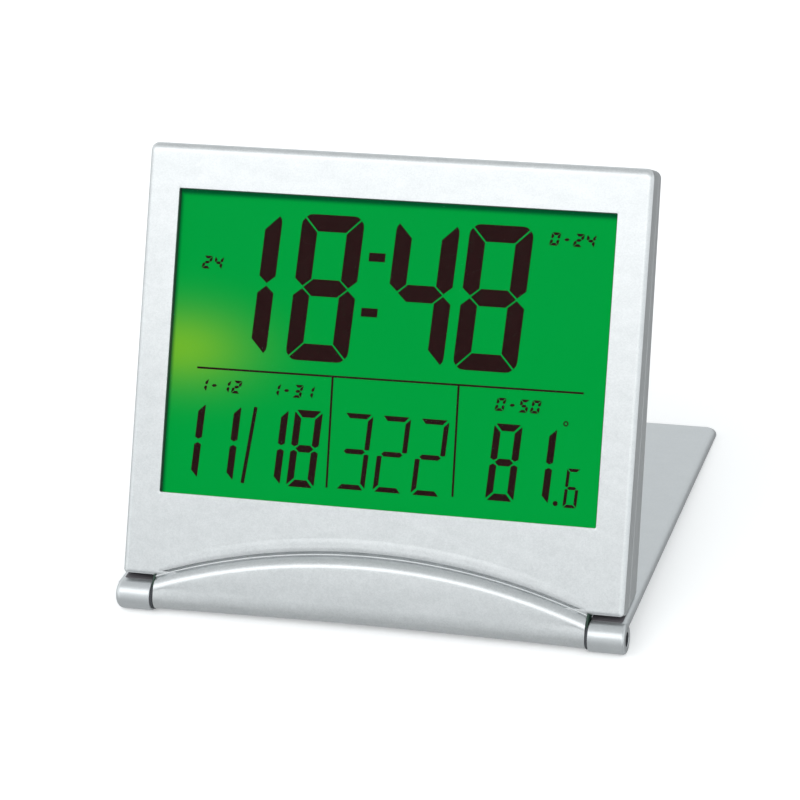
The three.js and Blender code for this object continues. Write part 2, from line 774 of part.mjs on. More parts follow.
const finishes = {
  silver: { color: 0xd9dde0, roughness: 0.42, metalness: 0.35 },
  silverCover: { color: 0xc4c9cc, roughness: 0.4, metalness: 0.35 },
  clear: { color: 0xf4faf8, roughness: 0.05, metalness: 0, transparent: true, opacity: 0.25 },
  display: { color: 0x009e3e, roughness: 0.25, metalness: 0 },
  rubber: { color: 0x3a3d42, roughness: 0.7, metalness: 0 },
  guide: { color: 0xe6f6e2, roughness: 0.15, metalness: 0 },
  foil: { color: 0xe8ebec, roughness: 0.2, metalness: 0.9 },
  lamp: { color: 0xbfe26a, roughness: 0.3, metalness: 0 },
  whitePlastic: { color: 0xf2f2ee, roughness: 0.5, metalness: 0 },
  board: { color: 0x1f6b3a, roughness: 0.45, metalness: 0 },
  resin: { color: 0x16171a, roughness: 0.35, metalness: 0 },
  steel: { color: 0xb9bdc1, roughness: 0.3, metalness: 1 },
  brass: { color: 0xc9a85a, roughness: 0.35, metalness: 1 },
  greyPlastic: { color: 0x8d9296, roughness: 0.5, metalness: 0.1 },
};

// Mesh of one piece, named for its node.
function piece(name, body, finish) {
  const mesh = new THREE.Mesh(geometryOf(body), new THREE.MeshStandardMaterial(finishes[finish]));
  mesh.name = name;
  return mesh;
}

// Pieces drawn on the case: X across, Y up the front face and Z out of it.
const casePieces = new THREE.Group();
casePieces.add(
  piece('front_case', frontCase(), 'silver'),
  piece('rear_case', rearCase(), 'silver'),
  piece('display_window', displayWindow(), 'clear'),
  piece('display_glass', displayGlass(), 'display'),
  piece('display_frame', displayFrame(), 'whitePlastic'),
  piece('light_guide', backPlate(guideFront, guideRear), 'guide'),
  piece('reflector_sheet', backPlate(reflectorFront, frameRear), 'foil'),
  piece('backlight_lamp', lamp(), 'lamp'),
  piece('contact_strip', zebraStrip(), 'rubber'),
  piece('circuit_board', circuitBoard(), 'board'),
  piece('chip_cover', chipCover(), 'resin'),
  piece('quartz_crystal', crystal(), 'steel'),
  piece('temperature_sensor', temperatureSensor(), 'resin'),
  piece('buzzer_disc', buzzer(), 'brass'),
  piece('coin_cell', coinCell(), 'steel'),
  piece('contact_negative', negativeContact(), 'brass'),
  piece('contact_positive', positiveContact(), 'brass'),
  piece('battery_cap', batteryCap(), 'silver'),
  ...caseScrewPlaces().map(([x, height], index) => piece(`case_screw_${index + 1}`,
    screw(x, height, caseScrewSeat(height) + contactGap), 'steel')),
  ...boardScrewPlaces.map(([x, height], index) => piece(`board_screw_${index + 1}`,
    screw(x, height, boardRear + contactGap), 'steel')),
  ...resistorPlaces.map(([x, height], index) => piece(`resistor_${index + 1}`, resistor(x, height),
    'resin')),
  ...buttonNames.map((name, index) => piece(`snap_dome_${name}`, snapDome(index), 'steel')),
  ...buttonNames.map((name, index) => piece(`button_${name}`, button(index), 'greyPlastic')),
);
casePieces.position.set(0, hingeDrop, hingeDepth);

const slope = coverSlope();
const openedCase = new THREE.Group();
openedCase.add(casePieces);
openedCase.rotation.x = openAngle - slope;

// Pieces drawn on the cover: X along the hinge, Y along the cover and Z out of its outer face.
const openedCover = new THREE.Group();
openedCover.add(
  piece('cover', cover(), 'silverCover'),
  piece('hinge_pin_left', hingePin(-1), 'steel'),
  piece('hinge_pin_right', hingePin(1), 'steel'),
);
openedCover.rotation.x = -slope;

const travelClock = new THREE.Group();
travelClock.add(openedCase, openedCover);
travelClock.updateMatrixWorld(true);
const bounds = new THREE.Box3().setFromObject(travelClock, true);
const middle = bounds.getCenter(new THREE.Vector3());
travelClock.position.set(-middle.x, -middle.y, -bounds.min.z);

export default travelClock;
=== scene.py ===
"""A folding travel clock with a large lit display, standing open on its cover."""

import json
import logging
import math
from dataclasses import dataclass, field
from enum import Enum
from typing import Any, Callable, Mapping, Sequence

import bmesh
import bpy
import numpy as np
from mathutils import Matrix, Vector
from mathutils.geometry import tessellate_polygon


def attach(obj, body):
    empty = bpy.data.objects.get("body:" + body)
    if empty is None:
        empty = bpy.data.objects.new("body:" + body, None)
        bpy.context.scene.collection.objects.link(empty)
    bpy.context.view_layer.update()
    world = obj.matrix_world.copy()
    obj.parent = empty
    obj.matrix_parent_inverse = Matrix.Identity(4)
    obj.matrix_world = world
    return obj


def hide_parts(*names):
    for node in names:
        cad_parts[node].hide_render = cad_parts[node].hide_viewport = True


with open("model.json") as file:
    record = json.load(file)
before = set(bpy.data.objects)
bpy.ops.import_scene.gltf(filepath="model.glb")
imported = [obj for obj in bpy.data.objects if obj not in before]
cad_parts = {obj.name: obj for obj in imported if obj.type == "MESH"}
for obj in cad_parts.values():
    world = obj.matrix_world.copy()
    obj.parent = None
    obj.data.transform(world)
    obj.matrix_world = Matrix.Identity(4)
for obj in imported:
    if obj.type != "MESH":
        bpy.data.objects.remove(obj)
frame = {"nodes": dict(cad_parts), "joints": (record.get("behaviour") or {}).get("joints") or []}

log = logging.getLogger("travel_clock")

MM = 0.001
QUARTER = math.pi / 2
ENDS = ((-1, "left"), (1, "right"))
WELD = 1e-7
OPEN_ANGLE = math.radians(65.6)
HINGE_DROP = 3.55
HINGE_DEPTH = 1.15

Array = np.ndarray
Triple = tuple[float, float, float]
Colour = Triple
Material = bpy.types.Material


class Body(Enum):
    """The bodies of the clock that pieces ride on."""

    CLOCK = "clock_body"
    COVER = "cover"
    CAP = "battery_cap"


class Slot(Enum):
    """The finishes of the record, passed along with new pieces."""

    CASE = "case_silver"
    COVER = "cover_silver"
    DISPLAY = "display_green"
    RUBBER = "contact_rubber"
    BUTTON = "button_grey"


# Drawing frames


@dataclass(frozen=True)
class Axes:
    """A flat drawing frame in space, with sizes in millimetres.

    Args:
        origin: its zero point in the frame of the whole object, in metres.
        across: unit vector of its first axis.
        up: unit vector of its second axis.
        out: unit vector square to both.
    """

    origin: Array
    across: Array
    up: Array
    out: Array

    def place(self, across: Any, up: Any, out: Any) -> Array:
        """Points in space: origin plus each coordinate times its axis.

        Args:
            across: coordinates along the first axis, in mm.
            up: coordinates along the second axis.
            out: coordinates along the third axis.

        Returns:
            An array of shape (n, 3) in metres.
        """
        a, u, o = np.broadcast_arrays(*(np.asarray(c, float) for c in (across, up, out)))
        flat = np.stack([a.ravel(), u.ravel(), o.ravel()], 1) * MM
        return self.origin + flat @ np.stack([self.across, self.up, self.out])

    def lift(self, flat: Array, out: float) -> Array:
        """Points in space of a flat outline at a distance out of the frame's plane."""
        return self.place(*flat.T, out)


def drawing_frames() -> tuple[Axes, Axes]:
    """Works out the frames of the case and of the opened cover from the joints.

    Returns:
        The case's frame (X, height up the front face, out of the front face) and the cover's
        frame (X, distance from the hinge, out of the cover's outer face).
    """
    joints = {joint["name"]: joint for joint in frame["joints"]}
    hinge = np.array(joints["cover_hinge"]["pos_m"], float)
    out = np.array(joints["light_press"]["axis"], float)
    across = np.array([1.0, 0.0, 0.0])
    up = np.cross(out, across)
    case = Axes(hinge + (HINGE_DROP * up + HINGE_DEPTH * out) * MM, across, up, out)
    along = up * math.cos(OPEN_ANGLE) - out * math.sin(OPEN_ANGLE)
    return case, Axes(hinge, across, along, np.cross(across, along))


# Surfaces


def around(turn: Array) -> Array:
    """Points (cos t, sin t) of the unit circle."""
    return np.stack([np.cos(turn), np.sin(turn)], -1)


def rounded_loop(
    left: float, bottom: float, right: float, top: float, radius: float, foot: float | None = None
) -> Array:
    """Rectangle with rounded corners: each corner is centre + radius (cos t, sin t).

    Args:
        left: lowest X.
        bottom: lowest height.
        right: highest X.
        top: highest height.
        radius: radius of the upper corners, and of the lower ones without a foot radius.
        foot: radius of the lower corners.

    Returns:
        Points of shape (n, 2), counter-clockwise from the lower right corner.
    """
    low = radius if foot is None else foot
    centres = np.array([[right - low, bottom + low], [right - radius, top - radius],
                        [left + radius, top - radius], [left + low, bottom + low]])
    radii = np.array([low, radius, radius, low])
    angles = np.array([-QUARTER, 0, QUARTER, math.pi])[:, None] + np.linspace(0, QUARTER, 9)
    return (centres[:, None] + around(angles) * radii[:, None, None]).reshape(-1, 2)


def key_loop(x: float, height: float, half: float, half_height: float) -> Array:
    """Outline of a long hole or key around a point, with ends that are nearly half round."""
    return rounded_loop(
        x - half, height - half_height, x + half, height + half_height, half_height * 0.98
    )


def round_loop(x: float, height: float, radius: float, count: int) -> Array:
    """Circle: centre + radius (cos t, sin t)."""
    return [x, height] + radius * around(np.linspace(0, 2 * math.pi, count, endpoint=False))


def quarter(radius: float, steps: int) -> list[tuple[float, float]]:
    """Points of a quarter round: inset r (1 - sin t) and depth r (1 - cos t)."""
    turn = np.linspace(0, QUARTER, steps + 1)
    return list(zip(radius * (1 - np.sin(turn)), radius * (1 - np.cos(turn))))


@dataclass(frozen=True)
class Brow:
    """Part of a round that stops at an angle and leaves a crisp edge.

    Args:
        width: how far it reaches into the face.
        last: the angle at which it stops, in degrees.
        stretch: how many times wider than a circle's it is.
    """

    width: float
    last: float = 90.0
    stretch: float = 1.0

    @property
    def radius(self) -> float:
        """Radius of the round."""
        return self.width / math.sin(math.radians(self.last))

    @property
    def depth(self) -> float:
        """Depth at which it stops: r (1 - cos t)."""
        return self.radius * (1 - math.cos(math.radians(self.last)))

    def inset(self, depth: float) -> float:
        """How far the surface lies inside at a depth: s (w - sqrt(r^2 - (r - d)^2))."""
        if depth >= self.depth:
            return 0.0
        across = math.sqrt(self.radius**2 - (self.radius - depth) ** 2)
        return self.stretch * (self.width - across)


@dataclass
class Skin:
    """Gathers loops of points and the faces between them, and makes one mesh of them."""

    points: list[Array] = field(default_factory=list)
    faces: list[list[int]] = field(default_factory=list)
    count: int = 0

    def loop(self, points: Array) -> Array:
        """Adds a loop of points and returns their indices."""
        self.points.append(np.asarray(points, float))
        indices = np.arange(self.count, self.count + len(points))
        self.count += len(points)
        return indices

    def bridge(self, one: Array, other: Array, closed: bool = True) -> None:
        """Joins two loops of the same length with four-sided faces."""
        a, b = one, other
        if closed:
            a, b = np.append(one, one[0]), np.append(other, other[0])
        self.faces += np.stack([a[:-1], a[1:], b[1:], b[:-1]], 1).tolist()

    def tube(self, loops: Sequence[Array]) -> list[Array]:
        """Adds loops and joins each to the next.

        Args:
            loops: closed loops of points, all of the same length.

        Returns:
            The indices of each loop.
        """
        rings = [self.loop(points) for points in loops]
        for one, other in zip(rings, rings[1:]):
            self.bridge(one, other)
        return rings

    def lid(self, outlines: Sequence[Array], indices: Sequence[Array]) -> None:
        """Fills a flat outline that may have holes.

        Args:
            outlines: flat outlines of shape (n, 2), the outer one first.
            indices: indices of each outline's points in the mesh.
        """
        flat = [[Vector((x, y, 0)) for x, y in outline.tolist()] for outline in outlines]
        order = np.concatenate(indices)
        self.faces += order[np.array(tessellate_polygon(flat))].tolist()

    def face(self, indices: Array) -> None:
        """Adds one many-sided face."""
        self.faces.append(indices.tolist())

    def plug(self, loops: Sequence[Array]) -> None:
        """Adds a tube through loops of points, with one face over each end."""
        rings = self.tube(loops)
        self.face(rings[0])
        self.face(rings[-1])

    def slab(
        self, place: Callable[[Array, float], Array], flats: Sequence[Array],
        levels: tuple[float, float],
    ) -> None:
        """Adds a closed slab that may have holes.

        Args:
            place: gives the points in space of a flat outline at a level.
            flats: flat outlines of shape (n, 2), the outer one first.
            levels: the levels of its two ends.
        """
        walls = [self.tube([place(flat, level) for level in levels]) for flat in flats]
        for end in (0, 1):
            self.lid(flats, [wall[end] for wall in walls])

    def mesh(self, name: str) -> bpy.types.Mesh:
        """Makes the mesh, its doubled points merged and its faces turned outwards.

        Args:
            name: the mesh's name.

        Returns:
            The new mesh.
        """
        mesh = bpy.data.meshes.new(name)
        mesh.from_pydata(np.concatenate(self.points).tolist(), [], self.faces)
        work = bmesh.new()
        work.from_mesh(mesh)
        bmesh.ops.remove_doubles(work, verts=work.verts, dist=WELD)
        bmesh.ops.dissolve_degenerate(work, edges=work.edges, dist=WELD)
        bmesh.ops.recalc_face_normals(work, faces=work.faces)
        work.to_mesh(mesh)
        work.free()
        return mesh

    def piece(
        self, name: str, body: str, slot: Slot, material: Material,
        nodes: Sequence[str] = (), sharp: float = 35,
    ) -> None:
        """Puts the surface into the scene as a piece of the clock.

        Args:
            name: the piece's name.
            body: the body that it rides on.
            slot: the record's finish that it takes; not used.
            material: its material.
            nodes: the CAD nodes that it stands for.
            sharp: edges that turn by more than this, in degrees, stay sharp.
        """
        mesh = self.mesh(name)
        piece = bpy.data.objects.new(name, mesh)
        bpy.context.scene.collection.objects.link(piece)
        mesh.materials.append(material)
        mesh.shade_smooth()
        mesh.set_sharp_from_angle(angle=math.radians(sharp))
        even = piece.modifiers.new("even_shading", "WEIGHTED_NORMAL")
        even.keep_sharp = True
        even.weight = 100
        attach(piece, body)
        if nodes:
            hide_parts(*nodes)
        log.info("%s: %d points, %d faces", name, len(mesh.vertices), len(mesh.polygons))


# Shader maths


def operator(operation: str, swapped: bool = False) -> Callable[["Value", Any], "Value"]:
    """Makes an arithmetic operator out of an operation of the Math node.

    Args:
        operation: the node's operation.
        swapped: whether the other operand comes first.

    Returns:
        The method.
    """

    def apply(value: "Value", other: Any) -> "Value":
        """Adds the Math node."""
        pair = (other, value) if swapped else (value, other)
        return value.shade.node("ShaderNodeMath", {"operation": operation}, dict(enumerate(pair)))

    return apply


class Value:
    """A number that changes over a surface, with the operators of arithmetic."""

    __add__ = __radd__ = operator("ADD")
    __mul__ = __rmul__ = operator("MULTIPLY")
    __sub__ = operator("SUBTRACT")
    __rsub__ = operator("SUBTRACT", swapped=True)
    __truediv__ = operator("DIVIDE")

    def __init__(self, shade: "Nodes", socket: bpy.types.NodeSocket) -> None:
        """Wraps one output socket of a material."""
        self.shade = shade
        self.socket = socket

    def math(self, operation: str, *others: Any, clamp: bool = False) -> "Value":
        """Adds a Math node on this value and others."""
        settings = {"operation": operation, "use_clamp": clamp}
        return self.shade.node("ShaderNodeMath", settings, dict(enumerate((self, *others))))

    def clamped(self) -> "Value":
        """This value held between 0 and 1."""
        return self.math("ADD", 0.0, clamp=True)

    def step(self, low: float, high: float) -> "Value":
        """Smooth step from 0 at low to 1 at high."""
        settings = {"interpolation_type": "SMOOTHSTEP"}
        inputs = {"Value": self, "From Min": low, "From Max": high}
        return self.shade.node("ShaderNodeMapRange", settings, inputs)


class Nodes:
    """A node tree."""

    def __init__(self, tree: bpy.types.NodeTree) -> None:
        """Takes a tree and empties it."""
        self.tree = tree
        self.tree.nodes.clear()

    def node(
        self,
        kind: str,
        settings: Mapping[str, Any] | None = None,
        inputs: Mapping[Any, Any] | None = None,
        out: int | str = 0,
    ) -> Value:
        """Adds any node.

        Args:
            kind: the node's type.
            settings: its settings, set before its inputs.
            inputs: a value or a link for each named or numbered input.
            out: the output to return.

        Returns:
            The chosen output.
        """
        made = self.tree.nodes.new(kind)
        for name, setting in (settings or {}).items():
            setattr(made, name, setting)
        for name, item in (inputs or {}).items():
            self.feed(made.inputs[name], item)
        return Value(self, made.outputs[out])

    def feed(self, socket: bpy.types.NodeSocket, item: Any) -> None:
        """Sets a socket to a constant or links it to a value."""
        if isinstance(item, Value):
            self.tree.links.new(item.socket, socket)
        elif isinstance(item, tuple) and len(item) == 3 and socket.type == "RGBA":
            socket.default_value = (*item, 1.0)
        else:
            socket.default_value = item

    def mix(self, share: Any, one: Any, other: Any) -> Value:
        """Colour between two colours."""
        settings = {"data_type": "RGBA", "clamp_factor": True}
        return self.node("ShaderNodeMix", settings, {0: share, 6: one, 7: other}, 2)


class Shade(Nodes):
    """The node tree of one material."""

    def __init__(self, name: str) -> None:
        """Starts an empty material with its output and its main shader.

        Args:
            name: the material's name.
        """
        self.material = bpy.data.materials.new(name)
        self.material.use_nodes = True
        super().__init__(self.material.node_tree)
        output = self.tree.nodes.new("ShaderNodeOutputMaterial")
        self.shader = self.tree.nodes.new("ShaderNodeBsdfPrincipled")
        self.tree.links.new(self.shader.outputs[0], output.inputs["Surface"])

    def place(self) -> Value:
        """Object coordinates, in metres."""
        return self.node("ShaderNodeTexCoord", out="Object")

    def along(self, axis: Array, origin: Array) -> Value:
        """Distance of a point from an origin along an axis, in mm: (P - O) . A / 0.001."""
        inputs = {0: self.place(), 1: tuple(float(part) / MM for part in axis)}
        dot = self.node("ShaderNodeVectorMath", {"operation": "DOT_PRODUCT"}, inputs, 1)
        return dot - float(np.dot(axis, origin) / MM)

    def stretched(self, scale: Triple) -> Value:
        """Object coordinates times a scale along each axis."""
        return self.node("ShaderNodeMapping", {"vector_type": "POINT"}, {0: self.place(), 3: scale})

    def noise(self, scale: float, detail: float = 2, where: Value | None = None) -> Value:
        """Noise around 0.5, its grain about 1 / scale metres."""
        inputs = {"Vector": where or self.place(), "Scale": scale, "Detail": detail}
        return self.node("ShaderNodeTexNoise", {"noise_dimensions": "3D"}, inputs, "Fac")

    def cells(self, scale: float) -> Value:
        """Random grey of each cell of a fine mosaic."""
        inputs = {"Vector": self.place(), "Scale": scale}
        colour = self.node("ShaderNodeTexVoronoi", {}, inputs, "Color")
        return self.node("ShaderNodeSeparateColor", {}, {0: colour})

    def bump(self, height: Value, distance: float, strength: float = 1.0) -> None:
        """Feeds a relief of this height, in metres, to the main shader."""
        inputs = {"Height": height, "Distance": distance, "Strength": strength}
        self.set("Normal", self.node("ShaderNodeBump", {}, inputs))

    def set(self, name: str, item: Any) -> None:
        """Sets or links an input of the main shader."""
        self.feed(self.shader.inputs[name], item)


# Finishes


class Finish:
    """A procedural material."""

    def make(self, name: str) -> Material:
        """Makes the material.

        Args:
            name: its name.

        Returns:
            The material.
        """
        shade = Shade(name)
        self.lay(shade)
        return shade.material

    def lay(self, shade: Shade) -> None:
        """Sets the inputs of the main shader."""
        raise NotImplementedError


@dataclass(frozen=True)
class SilverPaint(Finish):
    """Satin paint with fine metal flakes over moulded plastic.

    Args:
        light: colour of the brighter flakes.
        dark: colour of the duller ones.
        metallic: how metallic it is.
        roughness: its middle roughness.
        drag: scale of the cloudiness along each axis, which runs across the clock.
    """

    light: Colour = (0.695, 0.712, 0.718)
    dark: Colour = (0.485, 0.505, 0.512)
    metallic: float = 0.80
    roughness: float = 0.36
    drag: Triple = (0.4, 1.0, 1.0)

    def lay(self, shade: Shade) -> None:
        """Mottled flakes, a fine grain and a thin lacquer."""
        flakes = shade.cells(5200)
        mottle = shade.noise(900, 3)
        cloud = shade.noise(520, 3, shade.stretched(self.drag))
        mixed = (flakes * 0.28 + mottle * 0.30 + cloud * 0.42).clamped()
        shade.set("Base Color", shade.mix(mixed, self.dark, self.light))
        shade.set("Metallic", self.metallic)
        shade.set("Roughness", (self.roughness - 0.05) + flakes * 0.06 + mottle * 0.04)
        shade.set("Coat Weight", 0.12)
        shade.set("Coat Roughness", 0.22)
        relief = flakes * 0.35 + mottle * 0.65
        shade.bump(relief, 0.000012, 0.5)


@dataclass(frozen=True)
class Moulded(Finish):
    """Plain moulded plastic with a fine spark-eroded grain.

    Args:
        colour: its colour.
        roughness: its middle roughness.
        grain: size of the grain's relief in metres.
    """

    colour: Colour
    roughness: float = 0.45
    grain: float = 0.00001

    def lay(self, shade: Shade) -> None:
        """Colour that drifts a little, and a grain."""
        drift = shade.noise(220, 3)
        dull = tuple(part * 0.86 for part in self.colour)
        shade.set("Base Color", shade.mix(drift, dull, self.colour))
        fine = shade.noise(3800, 2)
        shade.set("Roughness", (self.roughness - 0.06) + fine * 0.12)
        shade.bump(fine, self.grain)


@dataclass(frozen=True)
class PlatedMetal(Finish):
    """Plated sheet metal with drawn streaks.

    Args:
        colour: its colour.
        roughness: its middle roughness.
        streak: scale of the streaks along each axis.
    """

    colour: Colour
    roughness: float = 0.28
    streak: Triple = (1.0, 9.0, 9.0)

    def lay(self, shade: Shade) -> None:
        """Streaks in colour, roughness and relief."""
        lines = shade.noise(700, 3, shade.stretched(self.streak))
        stain = shade.noise(300, 2)
        dull = tuple(part * 0.8 for part in self.colour)
        shade.set("Base Color", shade.mix(lines * 0.6 + stain * 0.4, dull, self.colour))
        shade.set("Metallic", 1.0)
        shade.set("Roughness", (self.roughness - 0.08) + lines * 0.16)
        shade.bump(lines, 0.000006)


@dataclass(frozen=True)
class ClearPlastic(Finish):
    """Clear acrylic over the display.

    Args:
        tint: the colour of what little it scatters.
        opacity: how much it scatters.
        edge_index: refractive index that sets how much its sheen hides.
    """

    tint: Colour = (0.02, 0.4, 0.2)
    opacity: float = 0.003
    edge_index: float = 1.05

    def lay(self, shade: Shade) -> None:
        """Nearly all clear, with a faint haze of fine scuffs."""
        haze = shade.noise(420, 3)
        sheen = shade.node("ShaderNodeFresnel", {}, {"IOR": self.edge_index})
        shade.set("Base Color", self.tint)
        shade.set("Alpha", self.opacity * 0.7 + haze * (self.opacity * 0.6) + sheen * 0.8)
        shade.set("Roughness", 0.04 + haze * 0.05)
        shade.set("Specular IOR Level", 0.35)
        shade.material.surface_render_method = "BLENDED"


@dataclass(frozen=True)
class LitDisplay(Finish):
    """Display glass lit from one side: green, with a yellow-green glow by the lamp and painted
    shade along its left and top rims.

    Args:
        axes: the case's frame.
        green: colour of the lit field.
        glow: colour beside the lamp.
        shaded: colour of the painted shade on the rims below the bezel.
        haze: colour of its faint unevenness.
        body: colour of the glass itself, where light falls on it.
        lamp: the lamp's place on the case, in mm.
        reach: how far the glow reaches across and up, in mm.
        opening: the window's left edge and its top, in mm.
        side_rim: where the painted shade along the left edge starts and ends, beside the window's
            edge.
        top_rim: the same for the painted shade along the top.
    """

    axes: Axes
    green: Colour = (0.0, 0.325, 0.041)
    glow: Colour = (0.160, 0.455, 0.022)
    shaded: Colour = (0.0, 0.060, 0.018)
    haze: Colour = (0.02, 0.42, 0.07)
    body: Colour = (0.0, 0.012, 0.004)
    lamp: tuple[float, float] = (-35.5, 37.9)
    reach: tuple[float, float] = (10.5, 5.7)
    opening: tuple[float, float] = (-36.93, 64.1)
    side_rim: tuple[float, float] = (-0.40, 0.60)
    top_rim: tuple[float, float] = (-1.35, -0.35)

    def lay(self, shade: Shade) -> None:
        """Green field, glow exp(-(dx/a)^2 - (dy/b)^2) and painted shade on the left and top rims.
        """
        x = shade.along(self.axes.across, self.axes.origin)
        height = shade.along(self.axes.up, self.axes.origin)
        aside = (x - self.lamp[0]) / self.reach[0]
        above = (height - self.lamp[1]) / self.reach[1]
        spot = ((aside * aside + above * above) * -1.0).math("EXPONENT")
        lit = shade.mix(spot, self.green, self.glow)
        # emission darkened near the window's left and top edges: painted shade from the bezel
        left = 1 - (x - self.opening[0]).step(*self.side_rim)
        top = (height - self.opening[1]).step(*self.top_rim)
        rim = left.math("MAXIMUM", top)
        uneven = shade.noise(60, 2) * 0.05
        shade.set("Base Color", self.body)
        shade.set("Emission Color", shade.mix(uneven, shade.mix(rim, lit, self.shaded), self.haze))
        shade.set("Emission Strength", 1.0)
        shade.set("Roughness", 0.3)
        shade.set("Specular IOR Level", 0.0)


@dataclass(frozen=True)
class DisplayInk(Finish):
    """Switched segments of the display: a dark film with a warm tint.

    Args:
        dark: its colour where it is densest.
        light: its colour where it is thinnest.
    """

    dark: Colour = (0.016, 0.0043, 0.0056)
    light: Colour = (0.022, 0.0059, 0.0072)

    def lay(self, shade: Shade) -> None:
        """Very dark, a little uneven."""
        drift = shade.noise(900, 2)
        shade.set("Base Color", shade.mix(drift, self.dark, self.light))
        shade.set("Roughness", 0.55 + drift * 0.1)
        shade.set("Specular IOR Level", 0.0)


@dataclass(frozen=True)
class StudioFloor(Finish):
    """White paper under the clock.

    Args:
        colour: its colour.
        shine: radiance of the light that comes through it from below.
    """

    colour: Colour = (0.93, 0.93, 0.93)
    shine: float = 0.215

    def lay(self, shade: Shade) -> None:
        """Even matt white that is lit from below too."""
        dull = tuple(part * 0.99 for part in self.colour)
        shade.set("Base Color", shade.mix(shade.noise(30, 2), dull, self.colour))
        shade.set("Roughness", 0.9)
        shade.set("Specular IOR Level", 0.0)
        shade.set("Emission Color", (1.0, 1.0, 1.0))
        shade.set("Emission Strength", self.shine)


# The case


@dataclass
class Case:
    """The silver case: a front shell with the window and the lip, and a rear shell.

    Lengths are in millimetres. Heights are up the front face from its lower edge, depths are
    behind that face.
    """

    axes: Axes
    paint: Material
    shade_liner: Material
    half: float = 42.5
    height: float = 71.5
    corner: float = 1.3
    foot_corner: float = 0.55
    least_corner: float = 0.3
    side_edge: Brow = Brow(0.95, 52)
    left_edge: Brow = Brow(1.0)
    top_edge: Brow = Brow(1.0, 90, 1.5)
    foot_edge: Brow = Brow(0.55, 45)
    rear_edge: float = 0.3
    hole_edge: float = 0.12
    side_wall: float = 1.2
    front_wall: float = 0.9
    rear_wall: float = 1.0
    seam: float = 4.2
    seam_gap: float = 0.1
    seam_edge: float = 0.04
    depth: float = 9.5
    taper: float = 3.4
    window_half: float = 37.0
    window_x: float = 0.07
    window_sill: float = 13.76
    window_top: float = 64.1
    window_corner: float = 0.25
    window_edge: float = 0.06
    liner: float = 0.1
    seat: float = 2.6
    guard: float = 0.6
    arch_radius: float = 109.75
    arch_centre: float = -103.65
    arch_half: float = 36.65
    lip_half: float = 36.6
    pocket_half: float = 36.2
    pocket_depth: float = 0.65
    key_row: float = 35.0
    key_pitch: float = 12.0
    key_half: tuple[float, float] = (3.5, 2.0)
    key_rise: float = 0.72
    mark_levels: tuple[float, float] = (-0.74, -1.0)
    cap_place: tuple[float, float] = (17.0, 18.5)
    cap_hole: float = 12.2
    cap_radius: float = 12.0
    skirt_radius: float = 10.9
    skirt_foot: float = 1.7
    coin_slot: Triple = (7.0, 1.1, 0.5)
    tab_reach: float = 13.2
    tab_foot: float = 11.4
    tab_top: float = 1.1
    notch_reach: float = 13.4
    notch_turn: float = 45.0
    sound_place: tuple[float, float] = (-20.0, 18.5)
    sound_pitch: float = 2.4
    sound_hole: float = 0.6
    screw_head: float = 1.6
    screw_hole: float = 0.95

    def add(self, skin: Skin, name: str, node: str, sharp: float = 35) -> None:
        """Adds a painted piece of the case that stands for one CAD node."""
        skin.piece(name, Body.CLOCK.value, Slot.CASE, self.paint, [node], sharp)

    def rear_depth(self, height: Any) -> Any:
        """Depth of the rear face at a height: a straight taper."""
        return self.depth - self.taper / self.height * np.asarray(height, float)

    def foot_plane(self, lift: float) -> tuple[float, float]:
        """The chamfered underside, parallel to the opened cover: height = a + b depth."""
        slope = math.cos(OPEN_ANGLE) / math.sin(OPEN_ANGLE)
        start = (self.seat + lift) / math.sin(OPEN_ANGLE) - HINGE_DEPTH * slope - HINGE_DROP
        return start, slope

    def outline(self, inset: float, bottom: float, top: float | None = None) -> Array:
        """Outline of the case moved inwards, with its lower edge at a height.

        Args:
            inset: how far the sides lie inside.
            bottom: height of the lower edge.
            top: how far the upper edge lies inside, where it isn't the same as the sides.

        Returns:
            Points of shape (n, 2).
        """
        high = self.height - (inset if top is None else top)
        radii = (max(r - inset, self.least_corner) for r in (self.corner, self.foot_corner))
        return rounded_loop(-self.half + inset, bottom, self.half - inset, high, *radii)

    def bottom_at(self, depth: float, lift: float = 0.0) -> float:
        """Height of the underside at a depth."""
        start, slope = self.foot_plane(lift)
        return max(0.0, start + slope * depth)

    def face_outline(self, depth: float, inside: float = 0.0) -> Array:
        """Outline of the front shell's rounded part at a depth, moved inside.

        The left side has a round of its own, so the left half of the outline is moved by the
        difference between the two rounds.
        """
        bottom = self.bottom_at(depth) + self.foot_edge.inset(depth) + inside * 0.1
        top = self.top_edge.inset(depth) + inside
        flat = self.outline(self.side_edge.inset(depth) + inside, bottom, top)
        flat[flat[:, 0] < 0, 0] += self.left_edge.inset(depth) - self.side_edge.inset(depth)
        return flat

    def level(self, inset: float, depth: float, lift: float = 0.0) -> Array:
        """Loop around the case at a depth."""
        return self.axes.lift(self.outline(inset, self.bottom_at(depth, lift)), -depth)

    def pocket(self) -> Array:
        """Outline of the sunk field below the lip's crease: the arch above a straight base."""
        reach, base, rise = self.pocket_half, 0.68, 0.95
        x = np.linspace(-reach, reach, 97)
        arch = self.arch_centre + rise + np.sqrt(self.arch_radius**2 - x**2)
        ends = np.array([[-reach, base], [reach, base]])
        return np.concatenate([ends, np.stack([x, arch], 1)[::-1]])

    def window(self, grow: float) -> Array:
        """Outline of the window opening, grown."""
        half = self.window_half + grow
        low, high = self.window_sill - grow, self.window_top + grow
        corner = self.window_corner + grow
        return rounded_loop(self.window_x - half, low, self.window_x + half, high, corner)

